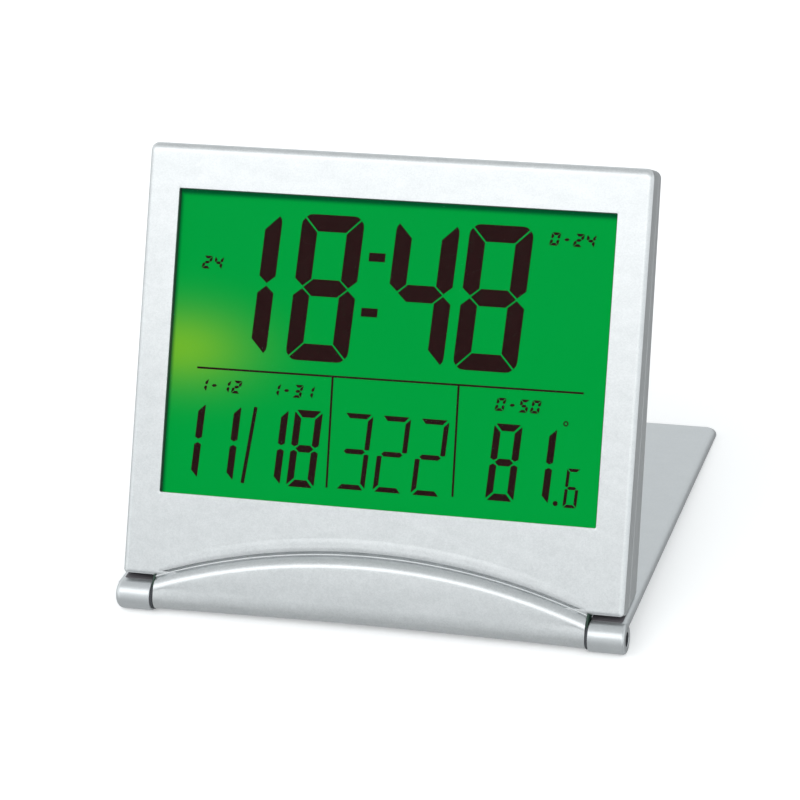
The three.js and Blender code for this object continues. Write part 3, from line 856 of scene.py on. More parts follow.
    def build_front(self) -> None:
        """Front shell: front face, rounded edge, side wall, seam, and the window opening."""
        skin = Skin()
        start, slope = self.foot_plane(0)
        near = self.seam_edge * np.array([1.0, 0.5, 0.15, 0.0])
        round_depths = 1 - np.cos(np.linspace(0, QUARTER, 13))
        edges = (self.side_edge, self.foot_edge)
        ends = {edge.depth + more for edge in edges for more in (0, 0.03)}
        loops = [self.axes.lift(self.face_outline(d), -d) for d in sorted({*round_depths, *ends})]
        loops.append(self.level(0.0, -start / slope))
        loops += [self.level(i, self.seam - d) for i, d in zip(near[::-1], near)]
        wall = self.side_wall
        loops += [self.level(wall, d, wall) for d in (self.seam, self.front_wall)]
        rings = skin.tube(loops)
        frame_hole = self.window(self.window_edge + self.guard)
        hole = [self.axes.lift(frame_hole, 0.0)]
        hole += [self.axes.lift(self.window(g), -d) for g, d in quarter(self.window_edge, 4)]
        hole.append(self.axes.lift(self.window(0), -self.front_wall))
        hole_rings = skin.tube(hole)
        rim = self.face_outline(0.0, self.guard)
        rim_ring = skin.loop(self.axes.lift(rim, 0.0))
        skin.bridge(rings[0], rim_ring)
        pocket = self.pocket()
        sunk = skin.tube([self.axes.lift(pocket, -d) for d in (0.0, self.pocket_depth)])
        skin.lid([pocket], [sunk[-1]])
        skin.lid([rim, frame_hole, pocket], [rim_ring, hole_rings[0], sunk[0]])
        start, slope = self.foot_plane(wall)
        inside = self.outline(wall, start + slope * self.front_wall)
        skin.lid([inside, self.window(0)], [rings[-1], hole_rings[-1]])
        self.add(skin, "case_front_shell", "front_case")

    def build_window_shade(self) -> None:
        """Dark liner in the window opening, painted shade on the walls of the recess: a thin strip
        up its sides and along its top.
        """
        skin = Skin()
        side, top, low = self.window_half - 0.01, self.window_top - 0.01, self.window_sill + 0.03
        inner, under = side - self.liner, top - self.liner
        strip = [(side, low), (side, top), (-side, top), (-side, low), (-inner, low),
                 (-inner, under), (inner, under), (inner, low)]
        skin.slab(self.axes.lift, [np.array(strip) + [self.window_x, 0.0]], (-1.05, -0.25))
        skin.piece("painted_shade_liner", Body.CLOCK.value, Slot.RUBBER, self.shade_liner)

    def rear_outline(self, inset: float, under: float, lift: float = 0.0) -> Array:
        """Flat outline of the rear shell at a distance below its rear face.

        Args:
            inset: how far it lies inside.
            under: distance below the rear face.
            lift: extra distance from the opened cover.

        Returns:
            Points of shape (n, 2).
        """
        start, slope = self.foot_plane(lift)
        bottom = (start + slope * (self.depth - under)) / (1 + slope * (self.taper / self.height))
        return self.outline(inset, bottom + (inset * 0.6 if lift == 0 else 0.0))

    def on_rear(self, outline: Array, under: float) -> Array:
        """Points in space of an outline at a distance below the rear face."""
        return self.axes.place(*outline.T, -(self.rear_depth(outline[:, 1]) - under))

    def key_outline(self, place: int, grow: float) -> Array:
        """Outline of the key at a place in the row, grown."""
        half, half_height = self.key_half
        x = (place - 2) * self.key_pitch
        return key_loop(x, self.key_row, half + grow, half_height + grow)

    def cap_outline(self, grow: float) -> Array:
        """Circle with two notches for the cap's tabs, as a radius against an angle."""
        half, start, middle = math.radians(13.0), math.radians(self.notch_turn), 13.0
        turn = np.linspace(0, 2 * math.pi, 96, endpoint=False)
        edges = start + np.array([-half, half, math.pi - half, math.pi + half])
        edges = edges + grow / middle * np.array([-1, 1, -1, 1])
        angles = np.sort(np.concatenate([turn, edges - 1e-4, edges + 1e-4]) % (2 * math.pi))
        offset = np.abs((angles - start + QUARTER) % math.pi - QUARTER)
        notched = offset < half + grow / middle
        radius = np.where(notched, self.notch_reach, self.cap_hole) + grow
        return radius[:, None] * around(angles) + self.cap_place

    def rear_holes(self) -> list[Callable[[float], Array]]:
        """Outlines of the holes for keys, cap and sound, each as a function of how far it grows."""
        holes = [lambda g, k=k: self.key_outline(k, 0.2 + g) for k in range(5)]
        holes.append(self.cap_outline)
        x, height = self.sound_place
        for column, row in ((c, r) for c in (-1, 0, 1) for r in (-1, 0, 1)):
            spot = (x + self.sound_pitch * column, height + self.sound_pitch * row)
            holes.append(lambda g, spot=spot: round_loop(*spot, self.sound_hole + g, 20))
        return holes

    def build_rear(self) -> None:
        """Rear shell: seam rim, side wall, rounded edge and rear face with all its holes."""
        skin = Skin()
        rim, wall, under = self.seam + self.seam_gap, self.side_wall, self.rear_wall
        loops = [self.level(wall, rim, wall)]
        loops += [self.level(i, rim + d) for i, d in quarter(self.seam_edge, 3)]
        bend = self.rear_edge
        for t in np.linspace(0, QUARTER, 9):
            inset, sink = bend * (1 - math.cos(t)), bend * (1 - math.sin(t))
            loops.append(self.on_rear(self.rear_outline(inset, sink), sink))
        outer = skin.tube(loops)
        inner_flat = self.rear_outline(wall, under, wall)
        inner = skin.loop(self.on_rear(inner_flat, under))
        skin.bridge(inner, outer[0])
        faces = [[self.rear_outline(bend, 0.0)], [inner_flat]]
        ids = [[outer[-1]], [inner]]

        def add_hole(stations: Sequence[Array], first: Array, last: Array) -> None:
            """Adds a hole's wall, and its two ends to the faces that it goes through."""
            rings = skin.tube(stations)
            for side, ring, flat in ((0, rings[0], first), (1, rings[-1], last)):
                faces[side].append(flat)
                ids[side].append(ring)

        for outline in self.rear_holes():
            stations = [self.on_rear(outline(g), d) for g, d in quarter(self.hole_edge, 3)]
            stations.append(self.on_rear(outline(0.0), under))
            add_hole(stations, outline(self.hole_edge), outline(0.0))
        top = self.height - (wall + 0.95 + 0.5 + 0.25)
        for x, height in ((-36.5, 7.2), (36.5, 7.2), (-38.0, top), (38.0, top)):
            seat = 0.55 - float(self.rear_depth(height))
            radii = (self.screw_head + 0.1, self.screw_head, self.screw_hole)
            wide, head, thin = (round_loop(x, height, radius, 32) for radius in radii)
            shelf = [self.axes.lift(flat, seat) for flat in (head, thin)]
            stations = [self.on_rear(wide, 0.0), self.on_rear(head, 0.1), *shelf]
            add_hole([*stations, self.on_rear(thin, under)], wide, thin)
        for flats, rings in zip(faces, ids):
            skin.lid(flats, rings)
        self.add(skin, "case_rear_shell", "rear_case")

    def key_mark(self, name: str, x: float) -> list[list[Array]]:
        """Raised generic mark on a key: a ring, an arrow head, a lozenge or a pair of bars.

        Args:
            name: the key's name.
            x: the key's place.

        Returns:
            For each raised part, its outline and its holes.
        """
        arrow = np.array([[-0.95, -0.5], [0.95, -0.5], [0.0, 0.75]])
        bar = np.array([[-0.95, -0.18], [0.95, -0.18], [0.95, 0.18], [-0.95, 0.18]])
        marks = {
            "light": [[round_loop(0, 0, 0.85, 28), round_loop(0, 0, 0.5, 28)]],
            "down": [[arrow * [1, -1]]],
            "up": [[arrow]],
            "set": [[round_loop(0, 0, 0.85, 4)]],
            "mode": [[bar + [0, 0.4]], [bar - [0, 0.4]]],
        }
        return [[flat + [x, self.key_row] for flat in flats] for flats in marks[name]]

    def build_keys(self, plastic: Material, names: Sequence[str]) -> None:
        """Keys on the rear face: half-round ends, rounded edge and a slightly crowned top."""
        edge, rise = 0.35, self.key_rise
        stations = [(0.0, 1.5), *((-i, d - rise) for i, d in quarter(edge, 6)[::-1])]
        for share in (0.3, 0.6, 0.85, 0.97):
            stations.append((-edge - 1.6 * share, -(rise + 0.08 * (1 - (1 - share) ** 2))))
        for place, name in enumerate(names):
            skin = Skin()
            skin.plug([self.on_rear(self.key_outline(place, g), under) for g, under in stations])
            for flats in self.key_mark(name, (place - 2) * self.key_pitch):
                skin.slab(self.on_rear, flats, self.mark_levels)
            button = f"button_{name}"
            skin.piece(f"key_{name}", button, Slot.BUTTON, plastic, [button])

    def build_cap(self) -> None:
        """Battery cap: a flush disc with a coin slot, a skirt below it and two tabs."""
        skin = Skin()
        stations = [(self.cap_radius - i, d) for i, d in quarter(0.25, 5)]
        stations += [(self.cap_radius, self.skirt_foot), (self.skirt_radius, self.skirt_foot),
                     (self.skirt_radius, 0.9)]
        discs = [round_loop(*self.cap_place, radius, 96) for radius, _ in stations]
        rings = skin.tube([self.on_rear(flat, u) for flat, (_, u) in zip(discs, stations)])
        half, half_width, floor = self.coin_slot
        steps = [*quarter(self.hole_edge, 3), (0.0, floor)]
        slots = [key_loop(*self.cap_place, half + g, half_width + g) for g, _ in steps]
        slot_rings = skin.tube([self.on_rear(flat, u) for flat, (_, u) in zip(slots, steps)])
        skin.lid([discs[0], slots[0]], [rings[0], slot_rings[0]])
        skin.face(slot_rings[-1])
        skin.face(rings[-1])
        for turn in (0.0, math.pi):
            arc = around(np.linspace(turn - math.radians(12), turn + math.radians(12), 9))
            flat = np.concatenate([arc * self.tab_reach, arc[::-1] * self.tab_foot])
            skin.slab(self.on_rear, [flat + self.cap_place], (self.tab_top, self.skirt_foot))
        skin.piece("battery_cap_disc", Body.CAP.value, Slot.CASE, self.paint, ["battery_cap"])

    def lip_section(self, x: Array) -> tuple[Array, Array]:
        """Sections of the lip and the hinge barrel, one for each X.

        A section starts just under the front face, swells a little, dips into a groove, goes over
        a thin bead and down into a crease. The ledge below is an arc whose normal turns evenly
        from 61.5 degrees above the face's normal to the normal itself. The lip's face then bends
        slowly down to the barrel, an ellipse around the hinge that is waisted in the middle.

        Args:
            x: positions along the hinge, of shape (n, 1).

        Returns:
            Heights and distances out of the front face, both of shape (n, stations).
        """
        foot = self.arch_centre + np.sqrt(self.arch_radius**2 - x**2)
        arc_share = np.cos(x / self.arch_half * math.pi / 2)
        bow = arc_share**0.6
        level = 0 * foot
        start, brink, groove_top, start_out, dip_depth = 2.9, 1.15, 0.5, -0.004, 0.07
        rise = 0.032 * bow
        drop = np.linspace(start, groove_top, 17)[None, :]
        swell = np.clip((start - drop) / 1.1, 0, 1)
        dip = np.clip((brink - drop) / (brink - groove_top), 0, 1)
        top = start_out + rise * swell**2 * (3 - 2 * swell) - (rise + dip_depth) * dip**1.7
        groove_height = np.array([[0.48, 0.43, 0.34, 0.24, 0.14]])
        groove_out = np.array([[-0.17, -0.40, -0.60, -0.50, -0.24]]) + level
        over = np.linspace(0.1, math.pi - 0.1, 9)[None, :]
        bead_height = -0.06 + 0.16 * np.cos(over)
        bead_out = -0.12 + 0.17 * np.sin(over) + level
        tilt, turn_rate, crease, crease_out = math.radians(61.5), 0.55, 0.30, 0.22
        fall = np.linspace(0, tilt / turn_rate, 21)[None, :]
        proud = 0.97 + 0.36 * bow
        arc = np.log(np.cos(tilt - turn_rate * fall) / math.cos(tilt)) / turn_rate
        ledge_height = foot - crease - fall
        ledge_out = -crease_out + (proud + crease_out) * arc / arc.max()
        wide, tall = 2.1 - 0.16 * bow, 2.1 - 0.4 * arc_share
        lean = math.radians(18.0)
        crest = foot - crease - tilt / turn_rate
        bend = np.minimum(-2.2, crest - 0.3)
        bend_out = proud - 0.01 - 0.22 * bow
        end_height = -HINGE_DROP - tall * math.sin(lean)
        end_out = -HINGE_DEPTH + wide * math.cos(lean)
        s = np.linspace(0, 1, 15)[None, 1:]
        ease, leave, arrive = s * s * (3 - 2 * s), s * (1 - s) ** 2, s * s * (s - 1)
        tilt_mid = math.tan(math.radians(4.5)) * bow
        first, second = bend - crest, end_height - bend
        face_height = np.concatenate([crest + first * s, bend + second * s], 1)
        upper_out = proud + (bend_out - proud) * ease + first * tilt_mid * arrive
        lower_out = bend_out + (end_out - bend_out) * ease + second * tilt_mid * leave
        lower_out = lower_out + second * math.tan(lean) * wide / tall * arrive
        turn = np.linspace(lean, 3 * QUARTER, 37)[None, 1:]
        barrel_height = -HINGE_DROP - tall * np.sin(turn)
        barrel_out = -HINGE_DEPTH + wide * np.cos(turn)
        heights = [foot + drop, foot + groove_height, foot + bead_height, ledge_height,
                   face_height, barrel_height, level + 0.45, foot + 3.7]
        outs = [top, groove_out, bead_out, ledge_out, upper_out, lower_out, barrel_out,
                level - HINGE_DEPTH, level - 0.4]
        return np.concatenate(heights, 1), np.concatenate(outs, 1)

    def build_lip(self) -> None:
        """Arched lip and hinge barrel: sections across the hinge, carried along it."""
        x = np.linspace(-self.lip_half, self.lip_half, 161)
        sections = list(zip(x, *self.lip_section(x[:, None])))
        skin = Skin()
        rings = skin.tube([self.axes.place(*section) for section in sections])
        for end in (0, -1):
            skin.lid([np.stack(sections[end][1:], 1)], [rings[end]])
        self.add(skin, "case_lip_and_barrel", "front_case", 50)

    def build_gap_shades(self) -> None:
        """Dark cheeks at the lip's ends, which close the gaps to the cover's knuckles: painted
        shade in those gaps.
        """
        flat = np.array([[-3.3, -2.5], [-0.3, -2.3], [0.02, -1.2], [0.02, 0.1], [-1.0, 0.45],
                         [-3.3, 0.6]])
        for side, end in ENDS:
            skin = Skin()
            ends = (side * (self.lip_half + 0.04), side * (self.lip_half + 0.34))
            skin.plug([self.axes.place(x, *flat.T) for x in ends])
            skin.piece(f"lip_gap_shade_{end}", Body.CLOCK.value, Slot.RUBBER, self.shade_liner)


# The cover


@dataclass
class Cover:
    """The cover: a thin plate with an arched cut-out, and a knuckle at each end of the hinge.

    Lengths are in millimetres.
    """

    axes: Axes
    paint: Material
    half: float = 43.2
    length: float = 75.05
    inner: float = 1.45
    outer: float = 2.5
    corner: float = 2.2
    edge: float = 0.15
    round_width: float = 1.2
    round_depth: float = 0.82
    arch_radius: float = 110.15
    arch_centre: float = -100.1
    knuckle: float = 6.2
    knuckle_gap: float = 0.12
    knuckle_edges: tuple[float, float] = (1.1, 0.55)
    inner_edge: float = 0.12
    bore: float = 0.95
    mouth: float = 1.25
    mouth_edge: float = 0.08
    recess: float = 1.4
    gap_shade_ring: Triple = (-0.28, 0.1, 2.2)
    # where the pads of painted shade lie under the case's foot
    pad_x: tuple[float, float] = (37.12, 42.3)
    pad_along: tuple[float, float] = (0.7, 3.6)
    pad_out: tuple[float, float] = (2.3, 2.54)
    pad_corner: float = 0.45

    def outline(self, inset: float) -> Array:
        """Outline of the plate moved inwards: two corner arcs, two ends and the arched cut-out."""
        radius = self.corner - inset
        right, top = self.half - inset, self.length - inset
        arc = around(np.linspace(0, QUARTER, 13)) * radius
        first = arc + [right - radius, top - radius]
        second = arc[::-1] * [-1, 1] + [-right + radius, top - radius]
        inner = self.half - self.knuckle + inset * 0.25
        big = self.arch_radius + inset * 0.25
        x = np.linspace(-inner, inner, 65)
        arch = np.stack([x, self.arch_centre + np.sqrt(big**2 - x**2)], 1)
        ends = np.array([[-right, 0.0], [-inner, 0.0]])
        last = np.array([[inner, 0.0], [right, 0.0]])
        return np.concatenate([first, second, ends, arch, last])

    def build_plate(self) -> None:
        """Plate: a wide elliptical rounding above and a small round below, all round."""
        skin = Skin()
        wide, deep = self.round_width, self.round_depth
        stations = [(wide + self.edge, self.outer)]
        stations += [(i * wide, self.outer - d * deep) for i, d in quarter(1.0, 12)]
        stations += [(i, self.inner + d) for i, d in quarter(self.edge, 5)[::-1]]
        flats = [self.outline(i) for i, _ in stations]
        rings = skin.tube([self.axes.lift(flat, out) for flat, (_, out) in zip(flats, stations)])
        for end in (0, -1):
            skin.lid([flats[end]], [rings[end]])
        skin.piece("cover_plate", Body.COVER.value, Slot.COVER, self.paint, ["cover"])

    def turned(self, side: int, section: Sequence[tuple[float, float]]) -> Skin:
        """Turns a closed section about the hinge: (x, r cos t, r sin t).

        Args:
            side: -1 for the left end, 1 for the right one.
            section: X and radius of each point.

        Returns:
            The closed surface.
        """
        turn = np.linspace(0, 2 * math.pi, 73)[:-1]
        skin = Skin()
        rings = skin.tube(
            [self.axes.place(side * x, r * np.cos(turn), r * np.sin(turn)) for x, r in section]
        )
        skin.bridge(rings[-1], rings[0])
        return skin

    def build_knuckles(self) -> None:
        """Knuckles: a closed section turned about the hinge, with a bore for the pin."""
        near, seat = self.half - self.knuckle + self.knuckle_gap, self.half - self.recess
        small, rim = self.inner_edge, self.mouth_edge
        for (side, end), edge in zip(ENDS, self.knuckle_edges):
            section = [(near, self.bore), (near, self.outer - small)]
            section += [(near + d, self.outer - i) for i, d in quarter(small, 3)]
            section += [(self.half - d, self.outer - i) for i, d in quarter(edge, 8)[::-1]]
            section += [(self.half, self.mouth + rim), (self.half - rim, self.mouth),
                        (seat, self.mouth), (seat, self.bore)]
            skin = self.turned(side, section)
            name = f"knuckle_{end}"
            skin.piece(name, Body.COVER.value, Slot.COVER, self.paint, ["cover"], 50)

    def build_shade_bushes(self, dark: Material) -> None:
        """Dark cups in the knuckles' mouths, and dark rings between knuckles and barrel: painted
        shade deep in the bores and in the gaps.
        """
        floor, rim, wall = self.half - self.recess + 0.03, self.half - 0.09, self.mouth - 0.005
        sleeve = [(floor, 0.3), (floor, wall), (rim, wall), (rim - 0.03, wall - 0.05),
                  (floor + 0.1, wall - 0.06), (floor + 0.1, 0.3)]
        first, last, radius = self.gap_shade_ring
        near = self.half - self.knuckle
        gap_shade_ring = [(near + first, self.bore), (near + first, radius), (near + last, radius),
                  (near + last, self.bore)]
        for side, end in ENDS:
            for name, section in (("bore_shade_sleeve", sleeve), ("gap_shade_washer", gap_shade_ring)):
                skin = self.turned(side, section)
                skin.piece(f"{name}_{end}", Body.COVER.value, Slot.RUBBER, dark, (), 50)

    def build_shade_pads(self, dark: Material) -> None:
        """Dark pads beside the knuckles, on the plate under the case's foot: painted shade in the
        narrow gap there.
        """
        low, high = self.pad_along
        foot, top = self.pad_out
        stations = [(0.0, foot), *((i, top - d) for i, d in quarter(0.06, 3)[::-1])]
        for side, end in ENDS:
            left, right = sorted(side * x for x in self.pad_x)
            skin = Skin()
            flats = [rounded_loop(left + i, low + i, right - i, high - i, self.pad_corner - i)
                     for i, _ in stations]
            skin.plug([self.axes.lift(flat, out) for flat, (_, out) in zip(flats, stations)])
            skin.piece(f"painted_shade_pad_{end}", Body.COVER.value, Slot.RUBBER, dark)


# The display

SEVEN = {
    "0": "abcdef", "1": "bc", "2": "abged", "3": "abgcd", "4": "fgbc", "5": "afgcd",
    "6": "afgedc", "8": "abcdefg", "-": "g",
}


@dataclass(frozen=True)
class Digit:
    """The cell of a slanted seven-segment digit, in millimetres.

    Args:
        width: its outer width.
        height: its outer height.
        bar: thickness of its segments.
        gap: half the space between the segments.
        bevel: how much its outer corners are cut and rounded, as a share of the thickness.
        slant: shift to the right per unit of height.
    """

    width: float
    height: float
    bar: float
    gap: float
    bevel: float
    slant: float = 0.0615

    def upright(self) -> Array:
        """Upper left segment in the digit's own cell, with a mitred top and a pointed foot."""
        t, top, mid = self.bar, self.height, self.height / 2
        cut, gap = self.bevel * t, self.gap
        return np.array([
            [0.0, mid + t * 0.5],
            [t / 2, mid + gap * 1.6],
            [t, mid + t * 0.5],
            [t, top - t - gap * 1.5],
            [cut * 0.28, top - cut * 0.28 - gap * 1.5],
            [cut * 0.06, top - cut * 0.62 - gap],
            [0.0, top - cut - gap],
        ])

    def mirrored(self, half: Array) -> Array:
        """Completes the left half of an outline with its mirror image."""
        return np.concatenate([half, half[::-1] * [-1, 1] + [self.width, 0]])

    def crown(self) -> Array:
        """Top segment: rounded outer corners and mitred ends."""
        t, top, gap = self.bar, self.height, self.gap
        cut = self.bevel * t
        return self.mirrored(np.array([
            [t + gap * 1.1, top - t],
            [cut * 0.28 + gap * 1.5, top - cut * 0.28],
            [cut * 0.62 + gap, top - cut * 0.06],
            [cut + gap, top],
        ]))

    def bridge(self) -> Array:
        """Middle segment: a long six-sided bar."""
        t, mid = self.bar, self.height / 2
        tip = t / 2 + self.gap * 1.3
        side = tip + t * 0.56
        return self.mirrored(np.array([[side, mid - t / 2], [tip, mid], [side, mid + t / 2]]))

    def segment(self, letter: str) -> Array:
        """One segment by its usual letter, leaned to the right by slant (y - middle).

        Args:
            letter: a to g.

        Returns:
            Its outline, of shape (n, 2).
        """
        if letter == "g":
            shape = self.bridge()
        else:
            shape = self.crown() if letter in "ad" else self.upright()
        if letter in "bc":
            shape = shape * [-1, 1] + [self.width, 0]
        if letter in "cde":
            shape = shape * [1, -1] + [0, self.height]
        lean = self.slant * (shape[:, 1] - self.height / 2)
        return shape + np.stack([lean, 0 * lean], 1)

    def show(self, figure: str, x: float, base: float) -> list[Array]:
        """Outlines of a figure's segments, with the cell's lower left corner at a place."""
        return [self.segment(letter) + [x, base] for letter in SEVEN[figure]]


def pill(first: tuple[float, float], last: tuple[float, float], thick: float) -> Array:
    """Bar between two points with slightly rounded ends.

    Args:
        first: its first end.
        last: its second end.
        thick: its thickness.

    Returns:
        Its outline.
    """
    ends = np.array([first, last])
    along = ends[1] - ends[0]
    along = along / float(np.hypot(*along))
    aside = np.array([-along[1], along[0]])
    turn = np.linspace(-QUARTER, QUARTER, 7)[:, None]
    reach, bulge = thick / 2, thick / 2 * 0.2
    cap = np.cos(turn) * bulge * along + np.sin(turn) * reach * aside
    return np.concatenate([ends[1] - along * bulge + cap, ends[0] + along * bulge - cap])


@dataclass
class Display:
    """The lit display and what it shows: time, date, number of the day, and temperature."""

    axes: Axes
    ink: Material
    levels: tuple[float, float] = (-1.79, -1.765)

    def piece(self, name: str, outlines: Sequence[Array], holes: Sequence[Array] = ()) -> None:
        """Makes thin closed slabs of outlines, as one piece on the glass.

        Args:
            name: the piece's name.
            outlines: an outline for each slab, on the case.
            holes: outlines of the holes through the slabs.
        """
        skin = Skin()
        for outline in outlines:
            skin.slab(self.axes.lift, [outline, *holes], self.levels)
        skin.piece(name, Body.CLOCK.value, Slot.DISPLAY, self.ink)

    def build_time(self) -> None:
        """Hours, colon bars and minutes in tall segments."""
        outlines: list[Array] = []
        top = 61.15
        places = ((-30.6, 37.15), (-16.57, 37.1), (-0.43, 37.25), (11.88, 37.45))
        for figure, (x, base) in zip("1848", places):
            outlines += Digit(10.65, top - base, 2.8, 0.13, 0.62).show(figure, x, base)
        bar = np.array([[-1.42, -0.72], [1.36, -0.72], [1.42, 0.72], [-1.36, 0.72]])
        outlines += [bar + place for place in ((-2.75, 54.7), (-3.45, 45.65))]
        self.piece("digits_time", outlines)

    def build_date(self) -> None:
        """Month, stroke and day in small segments."""
        outlines: list[Array] = []
        for figure, x in zip("1118", (-35.55, -29.35, -21.15, -15.3)):
            outlines += Digit(4.75, 12.7, 1.2, 0.17, 0.35).show(figure, x, 16.3)
        outlines.append(pill((-23.25, 16.2), (-21.75, 28.9), 0.62))
        self.piece("digits_date", outlines)

    def build_day(self) -> None:
        """Number of the day in the year, in thin segments."""
        outlines: list[Array] = []
        for figure, x in zip("322", (-6.9, -0.5, 5.95)):
            outlines += Digit(5.0, 12.5, 0.84, 0.2, 0.35).show(figure, x, 16.6)
        self.piece("digits_weekday", outlines)

    def build_temperature(self) -> None:
        """Degrees and tenths, with a ring for the degree sign."""
        outlines: list[Array] = []
        for figure, x in zip("81", (18.47, 24.2)):
            outlines += Digit(4.7, 12.5, 1.17, 0.17, 0.35).show(figure, x, 16.75)
        outlines.append(round_loop(29.75, 17.1, 0.42, 20))
        outlines += Digit(2.25, 6.35, 0.52, 0.08, 0.3).show("6", 31.15, 16.55)
        self.piece("digits_temperature", outlines)
        rim, hole = (round_loop(30.6, 30.0, radius, 28) for radius in (0.44, 0.22))
        self.piece("degree_ring", [rim], [hole])

    def build_rules(self) -> None:
        """Lines between the fields."""
        rules = (
            ((-32.4, 34.7), (33.2, 35.08), 0.33),
            ((-8.93, 34.85), (-8.72, 16.6), 0.36),
            ((12.42, 34.95), (12.65, 16.8), 0.36),
        )
        self.piece("display_rules", [pill(*rule) for rule in rules])

    def build_ranges(self) -> None:
        """Plain numbers above the figures: the range that each field counts through."""
        ranges = (
            ("clock", "24", -32.6, 51.1),
            ("time", "0-24", 26.0, 58.4),
            ("month", "1-12", -31.9, 30.85),
            ("date", "1-31", -19.35, 30.9),
            ("degrees", "0-50", 18.85, 31.25),
        )
        cell, pitch = Digit(1.5, 2.15, 0.46, 0.05, 0.3, 0.2), 1.95
        for name, figures, left, base in ranges:
            outlines: list[Array] = []
            for index, figure in enumerate(figures):
                outlines += cell.show(figure, left + pitch * index, base)
            self.piece(f"range_{name}", outlines)


# Finishes of the CAD nodes


def dress_nodes(materials: Mapping[str, Material]) -> None:
    """Gives every CAD node that stays its material.

    Args:
        materials: a material for each beginning of a node's name.
    """
    for name, node in frame["nodes"].items():
        beginning = next(key for key in materials if name.startswith(key))
        node.data.materials.clear()
        node.data.materials.append(materials[beginning])


# Studio


@dataclass(frozen=True)
class Studio:
    """White floor, soft light, plain surroundings and the camera, in metres.

    Args:
        high: radiance of the surroundings overhead.
        front: radiance towards the horizon in front.
        back: radiance towards the horizon behind.
        low: radiance below the horizon, which only reflections see.
        wing: radiance of the bright reflectors at the front right and the left.
        dim: radiance of the dark corner at the back right.
        tint: colour of the surroundings.
        reach: half the floor's width.
        key_place: where the key light stands.
        key_aim: the point that it faces.
        key_size: its width and height.
        key_power: its power in watts.
        eye: the camera's place.
        turn: its rotation about each axis, in degrees.
        lens: its focal length in mm.
        film: the width of its film in mm.
    """

    high: float = 0.72
    front: float = 0.74
    back: float = 0.97
    low: float = 0.48
    wing: float = 1.30
    dim: float = 0.30
    tint: Colour = (0.965, 1.0, 1.015)
    reach: float = 3.0
    key_place: Triple = (-0.1165, -0.4425, 0.4575)
    key_aim: Triple = (0.0, -0.036, 0.004)
    key_size: tuple[float, float] = (1.04, 0.37)
    key_power: float = 1.85
    eye: Triple = (0.1521252, -0.485474, 0.2911675)
    turn: Triple = (62.179403, 3.712968, 15.814557)
    lens: float = 153.0
    film: float = 36.0

    def set_camera(self) -> None:
        """Places the camera where the photograph was taken from."""
        data = bpy.data.cameras.new("camera")
        data.lens = self.lens
        data.sensor_width = self.film
        data.clip_start = 0.01
        camera = bpy.data.objects.new("camera", data)
        camera.location = self.eye
        camera.rotation_euler = tuple(math.radians(angle) for angle in self.turn)
        bpy.context.scene.collection.objects.link(camera)
        bpy.context.scene.camera = camera

    def add_key_light(self) -> None:
        """Adds the flat key light above the front of the clock."""
        data = bpy.data.lights.new("key", "AREA")
        data.shape = "RECTANGLE"
        data.size, data.size_y = self.key_size
        data.energy = self.key_power
        light = bpy.data.objects.new("key", data)
        light.location = self.key_place
        facing = Vector(self.key_aim) - Vector(self.key_place)
        light.rotation_euler = facing.to_track_quat("-Z", "Y").to_euler()
        bpy.context.scene.collection.objects.link(light)

    def add_floor(self) -> None:
        """Flat floor, not seen in the clock's reflections."""
        steps = np.linspace(-self.reach, self.reach, 13)
        skin = Skin()
        rows = [skin.loop(np.stack([steps, 0 * steps + y, 0 * steps], 1)) for y in steps]
        for one, other in zip(rows, rows[1:]):
            skin.bridge(one, other, closed=False)
        mesh = bpy.data.meshes.new("floor")
        mesh.from_pydata(np.concatenate(skin.points).tolist(), [], skin.faces)
        mesh.materials.append(StudioFloor().make("paper_floor"))
        floor = bpy.data.objects.new("floor", mesh)
        floor.visible_glossy = False
        bpy.context.scene.collection.objects.link(floor)

    def add_surroundings(self) -> None:
        """Plain grey surroundings that darken below the horizon."""
        world = bpy.data.worlds.new("studio")
        world.use_nodes = True
        bpy.context.scene.world = world
        nodes = Nodes(world.node_tree)
        ray = nodes.node("ShaderNodeTexCoord", out="Generated")
        side, depth, rise = (nodes.node("ShaderNodeSeparateXYZ", {}, {0: ray}, i) for i in range(3))
        low, front, back, high, wing, dim = (
            tuple(part * amount for part in self.tint)
            for amount in (self.low, self.front, self.back, self.high, self.wing, self.dim)
        )
        level = nodes.mix(depth.step(-0.7, 0.3), front, back)
        level = nodes.mix((side * 0.87 - depth * 0.5).step(0.55, 0.85), level, wing)
        level = nodes.mix((side * -0.95 - depth * 0.3).step(0.6, 0.9), level, wing)
        upper = nodes.mix(rise.step(0.5, 0.8), level, high)
        whole = nodes.mix(rise.step(-0.25, 0.05), low, upper)
        corner = (side * 0.45 + depth * 0.85 - rise * 0.25).step(0.70, 0.95)
        colour = nodes.mix(corner, whole, dim)
        shader = nodes.node("ShaderNodeBackground", {}, {"Color": colour, "Strength": 1.0})
        output = nodes.tree.nodes.new("ShaderNodeOutputWorld")
        nodes.feed(output.inputs["Surface"], shader)

    def build(self) -> None:
        """Puts up the floor, the light, the surroundings and the camera."""
        self.add_floor()
        self.add_key_light()
        self.add_surroundings()
        self.set_camera()
        bpy.context.scene.view_settings.view_transform = "Standard"


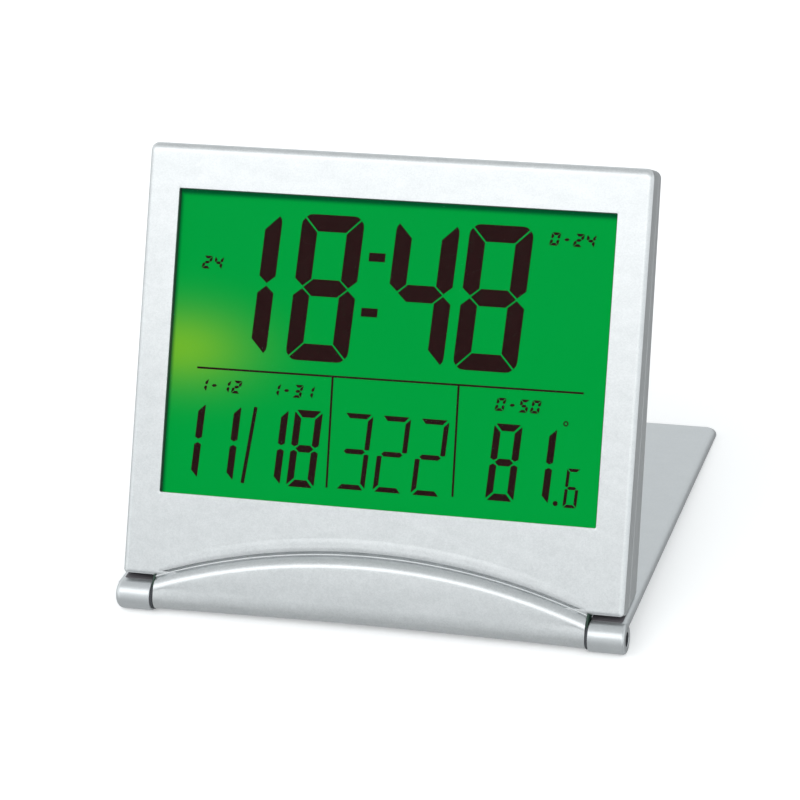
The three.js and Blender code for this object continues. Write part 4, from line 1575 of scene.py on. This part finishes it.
def main() -> None:
    """Builds the clock and the studio, and reports each piece."""
    logging.basicConfig(level=logging.INFO, format="%(name)s: %(message)s")
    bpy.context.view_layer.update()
    case_axes, cover_axes = drawing_frames()
    silver = SilverPaint().make("case_silver_paint")
    cover_paint = SilverPaint((0.63, 0.65, 0.66), (0.53, 0.552, 0.562)).make("cover_silver_paint")
    steel = PlatedMetal((0.66, 0.68, 0.70)).make("plated_steel")
    brass = PlatedMetal((0.74, 0.56, 0.26)).make("bright_brass")
    dark = Moulded((0.035, 0.037, 0.042), 0.4).make("dark_resin")
    grey = Moulded((0.30, 0.32, 0.335), 0.42).make("button_plastic")
    # dark green of painted shade: the window's liner and the cheeks in the lip's gaps
    shade_liner = Moulded((0.008, 0.038, 0.022), 0.6).make("painted_shade_liner")
    white = Moulded((0.84, 0.84, 0.81), 0.5).make("white_plastic")
    rubber = Moulded((0.045, 0.048, 0.055), 0.7).make("contact_rubber")
    # dark mauve grey of the painted shade under the case's foot
    pad = Moulded((0.120, 0.112, 0.122), 0.6).make("painted_shade_pad_dark")
    guide = Moulded((0.62, 0.86, 0.60), 0.12, 0.000002).make("light_guide")
    lamp = Moulded((0.55, 0.80, 0.16), 0.25, 0.000002).make("lamp_resin")
    board = Moulded((0.02, 0.14, 0.05), 0.32, 0.000004).make("solder_mask")
    foil = PlatedMetal((0.86, 0.87, 0.88), 0.2).make("reflector_foil")
    window = ClearPlastic().make("clear_acrylic")
    lit = LitDisplay(case_axes).make("lit_display")
    ink = DisplayInk().make("display_ink")
    dress_nodes(
        {
            "front_case": silver, "rear_case": silver, "battery_cap": silver, "cover": cover_paint,
            "display_window": window, "display_glass": lit, "display_frame": white,
            "light_guide": guide, "reflector_sheet": foil, "backlight_lamp": lamp,
            "contact_strip": rubber, "contact_": brass, "circuit_board": board,
            "chip_cover": dark, "quartz_crystal": steel, "temperature_sensor": dark,
            "buzzer_disc": brass, "coin_cell": steel, "case_screw": steel, "board_screw": steel,
            "resistor": dark, "snap_dome": steel, "button": grey, "hinge_pin": steel,
        }
    )
    case = Case(case_axes, silver, shade_liner)
    case.build_front()
    case.build_window_shade()
    case.build_lip()
    case.build_gap_shades()
    case.build_rear()
    case.build_cap()
    case.build_keys(grey, ("light", "down", "up", "set", "mode"))
    cover = Cover(cover_axes, cover_paint)
    cover.build_plate()
    cover.build_knuckles()
    # dark cups and rings: painted shade in the bores and the knuckles' gaps
    cover.build_shade_bushes(rubber)
    cover.build_shade_pads(pad)
    display = Display(case_axes, ink)
    display.build_time()
    display.build_date()
    display.build_day()
    display.build_temperature()
    display.build_rules()
    display.build_ranges()
    Studio().build()


if __name__ == "__main__":
    main()
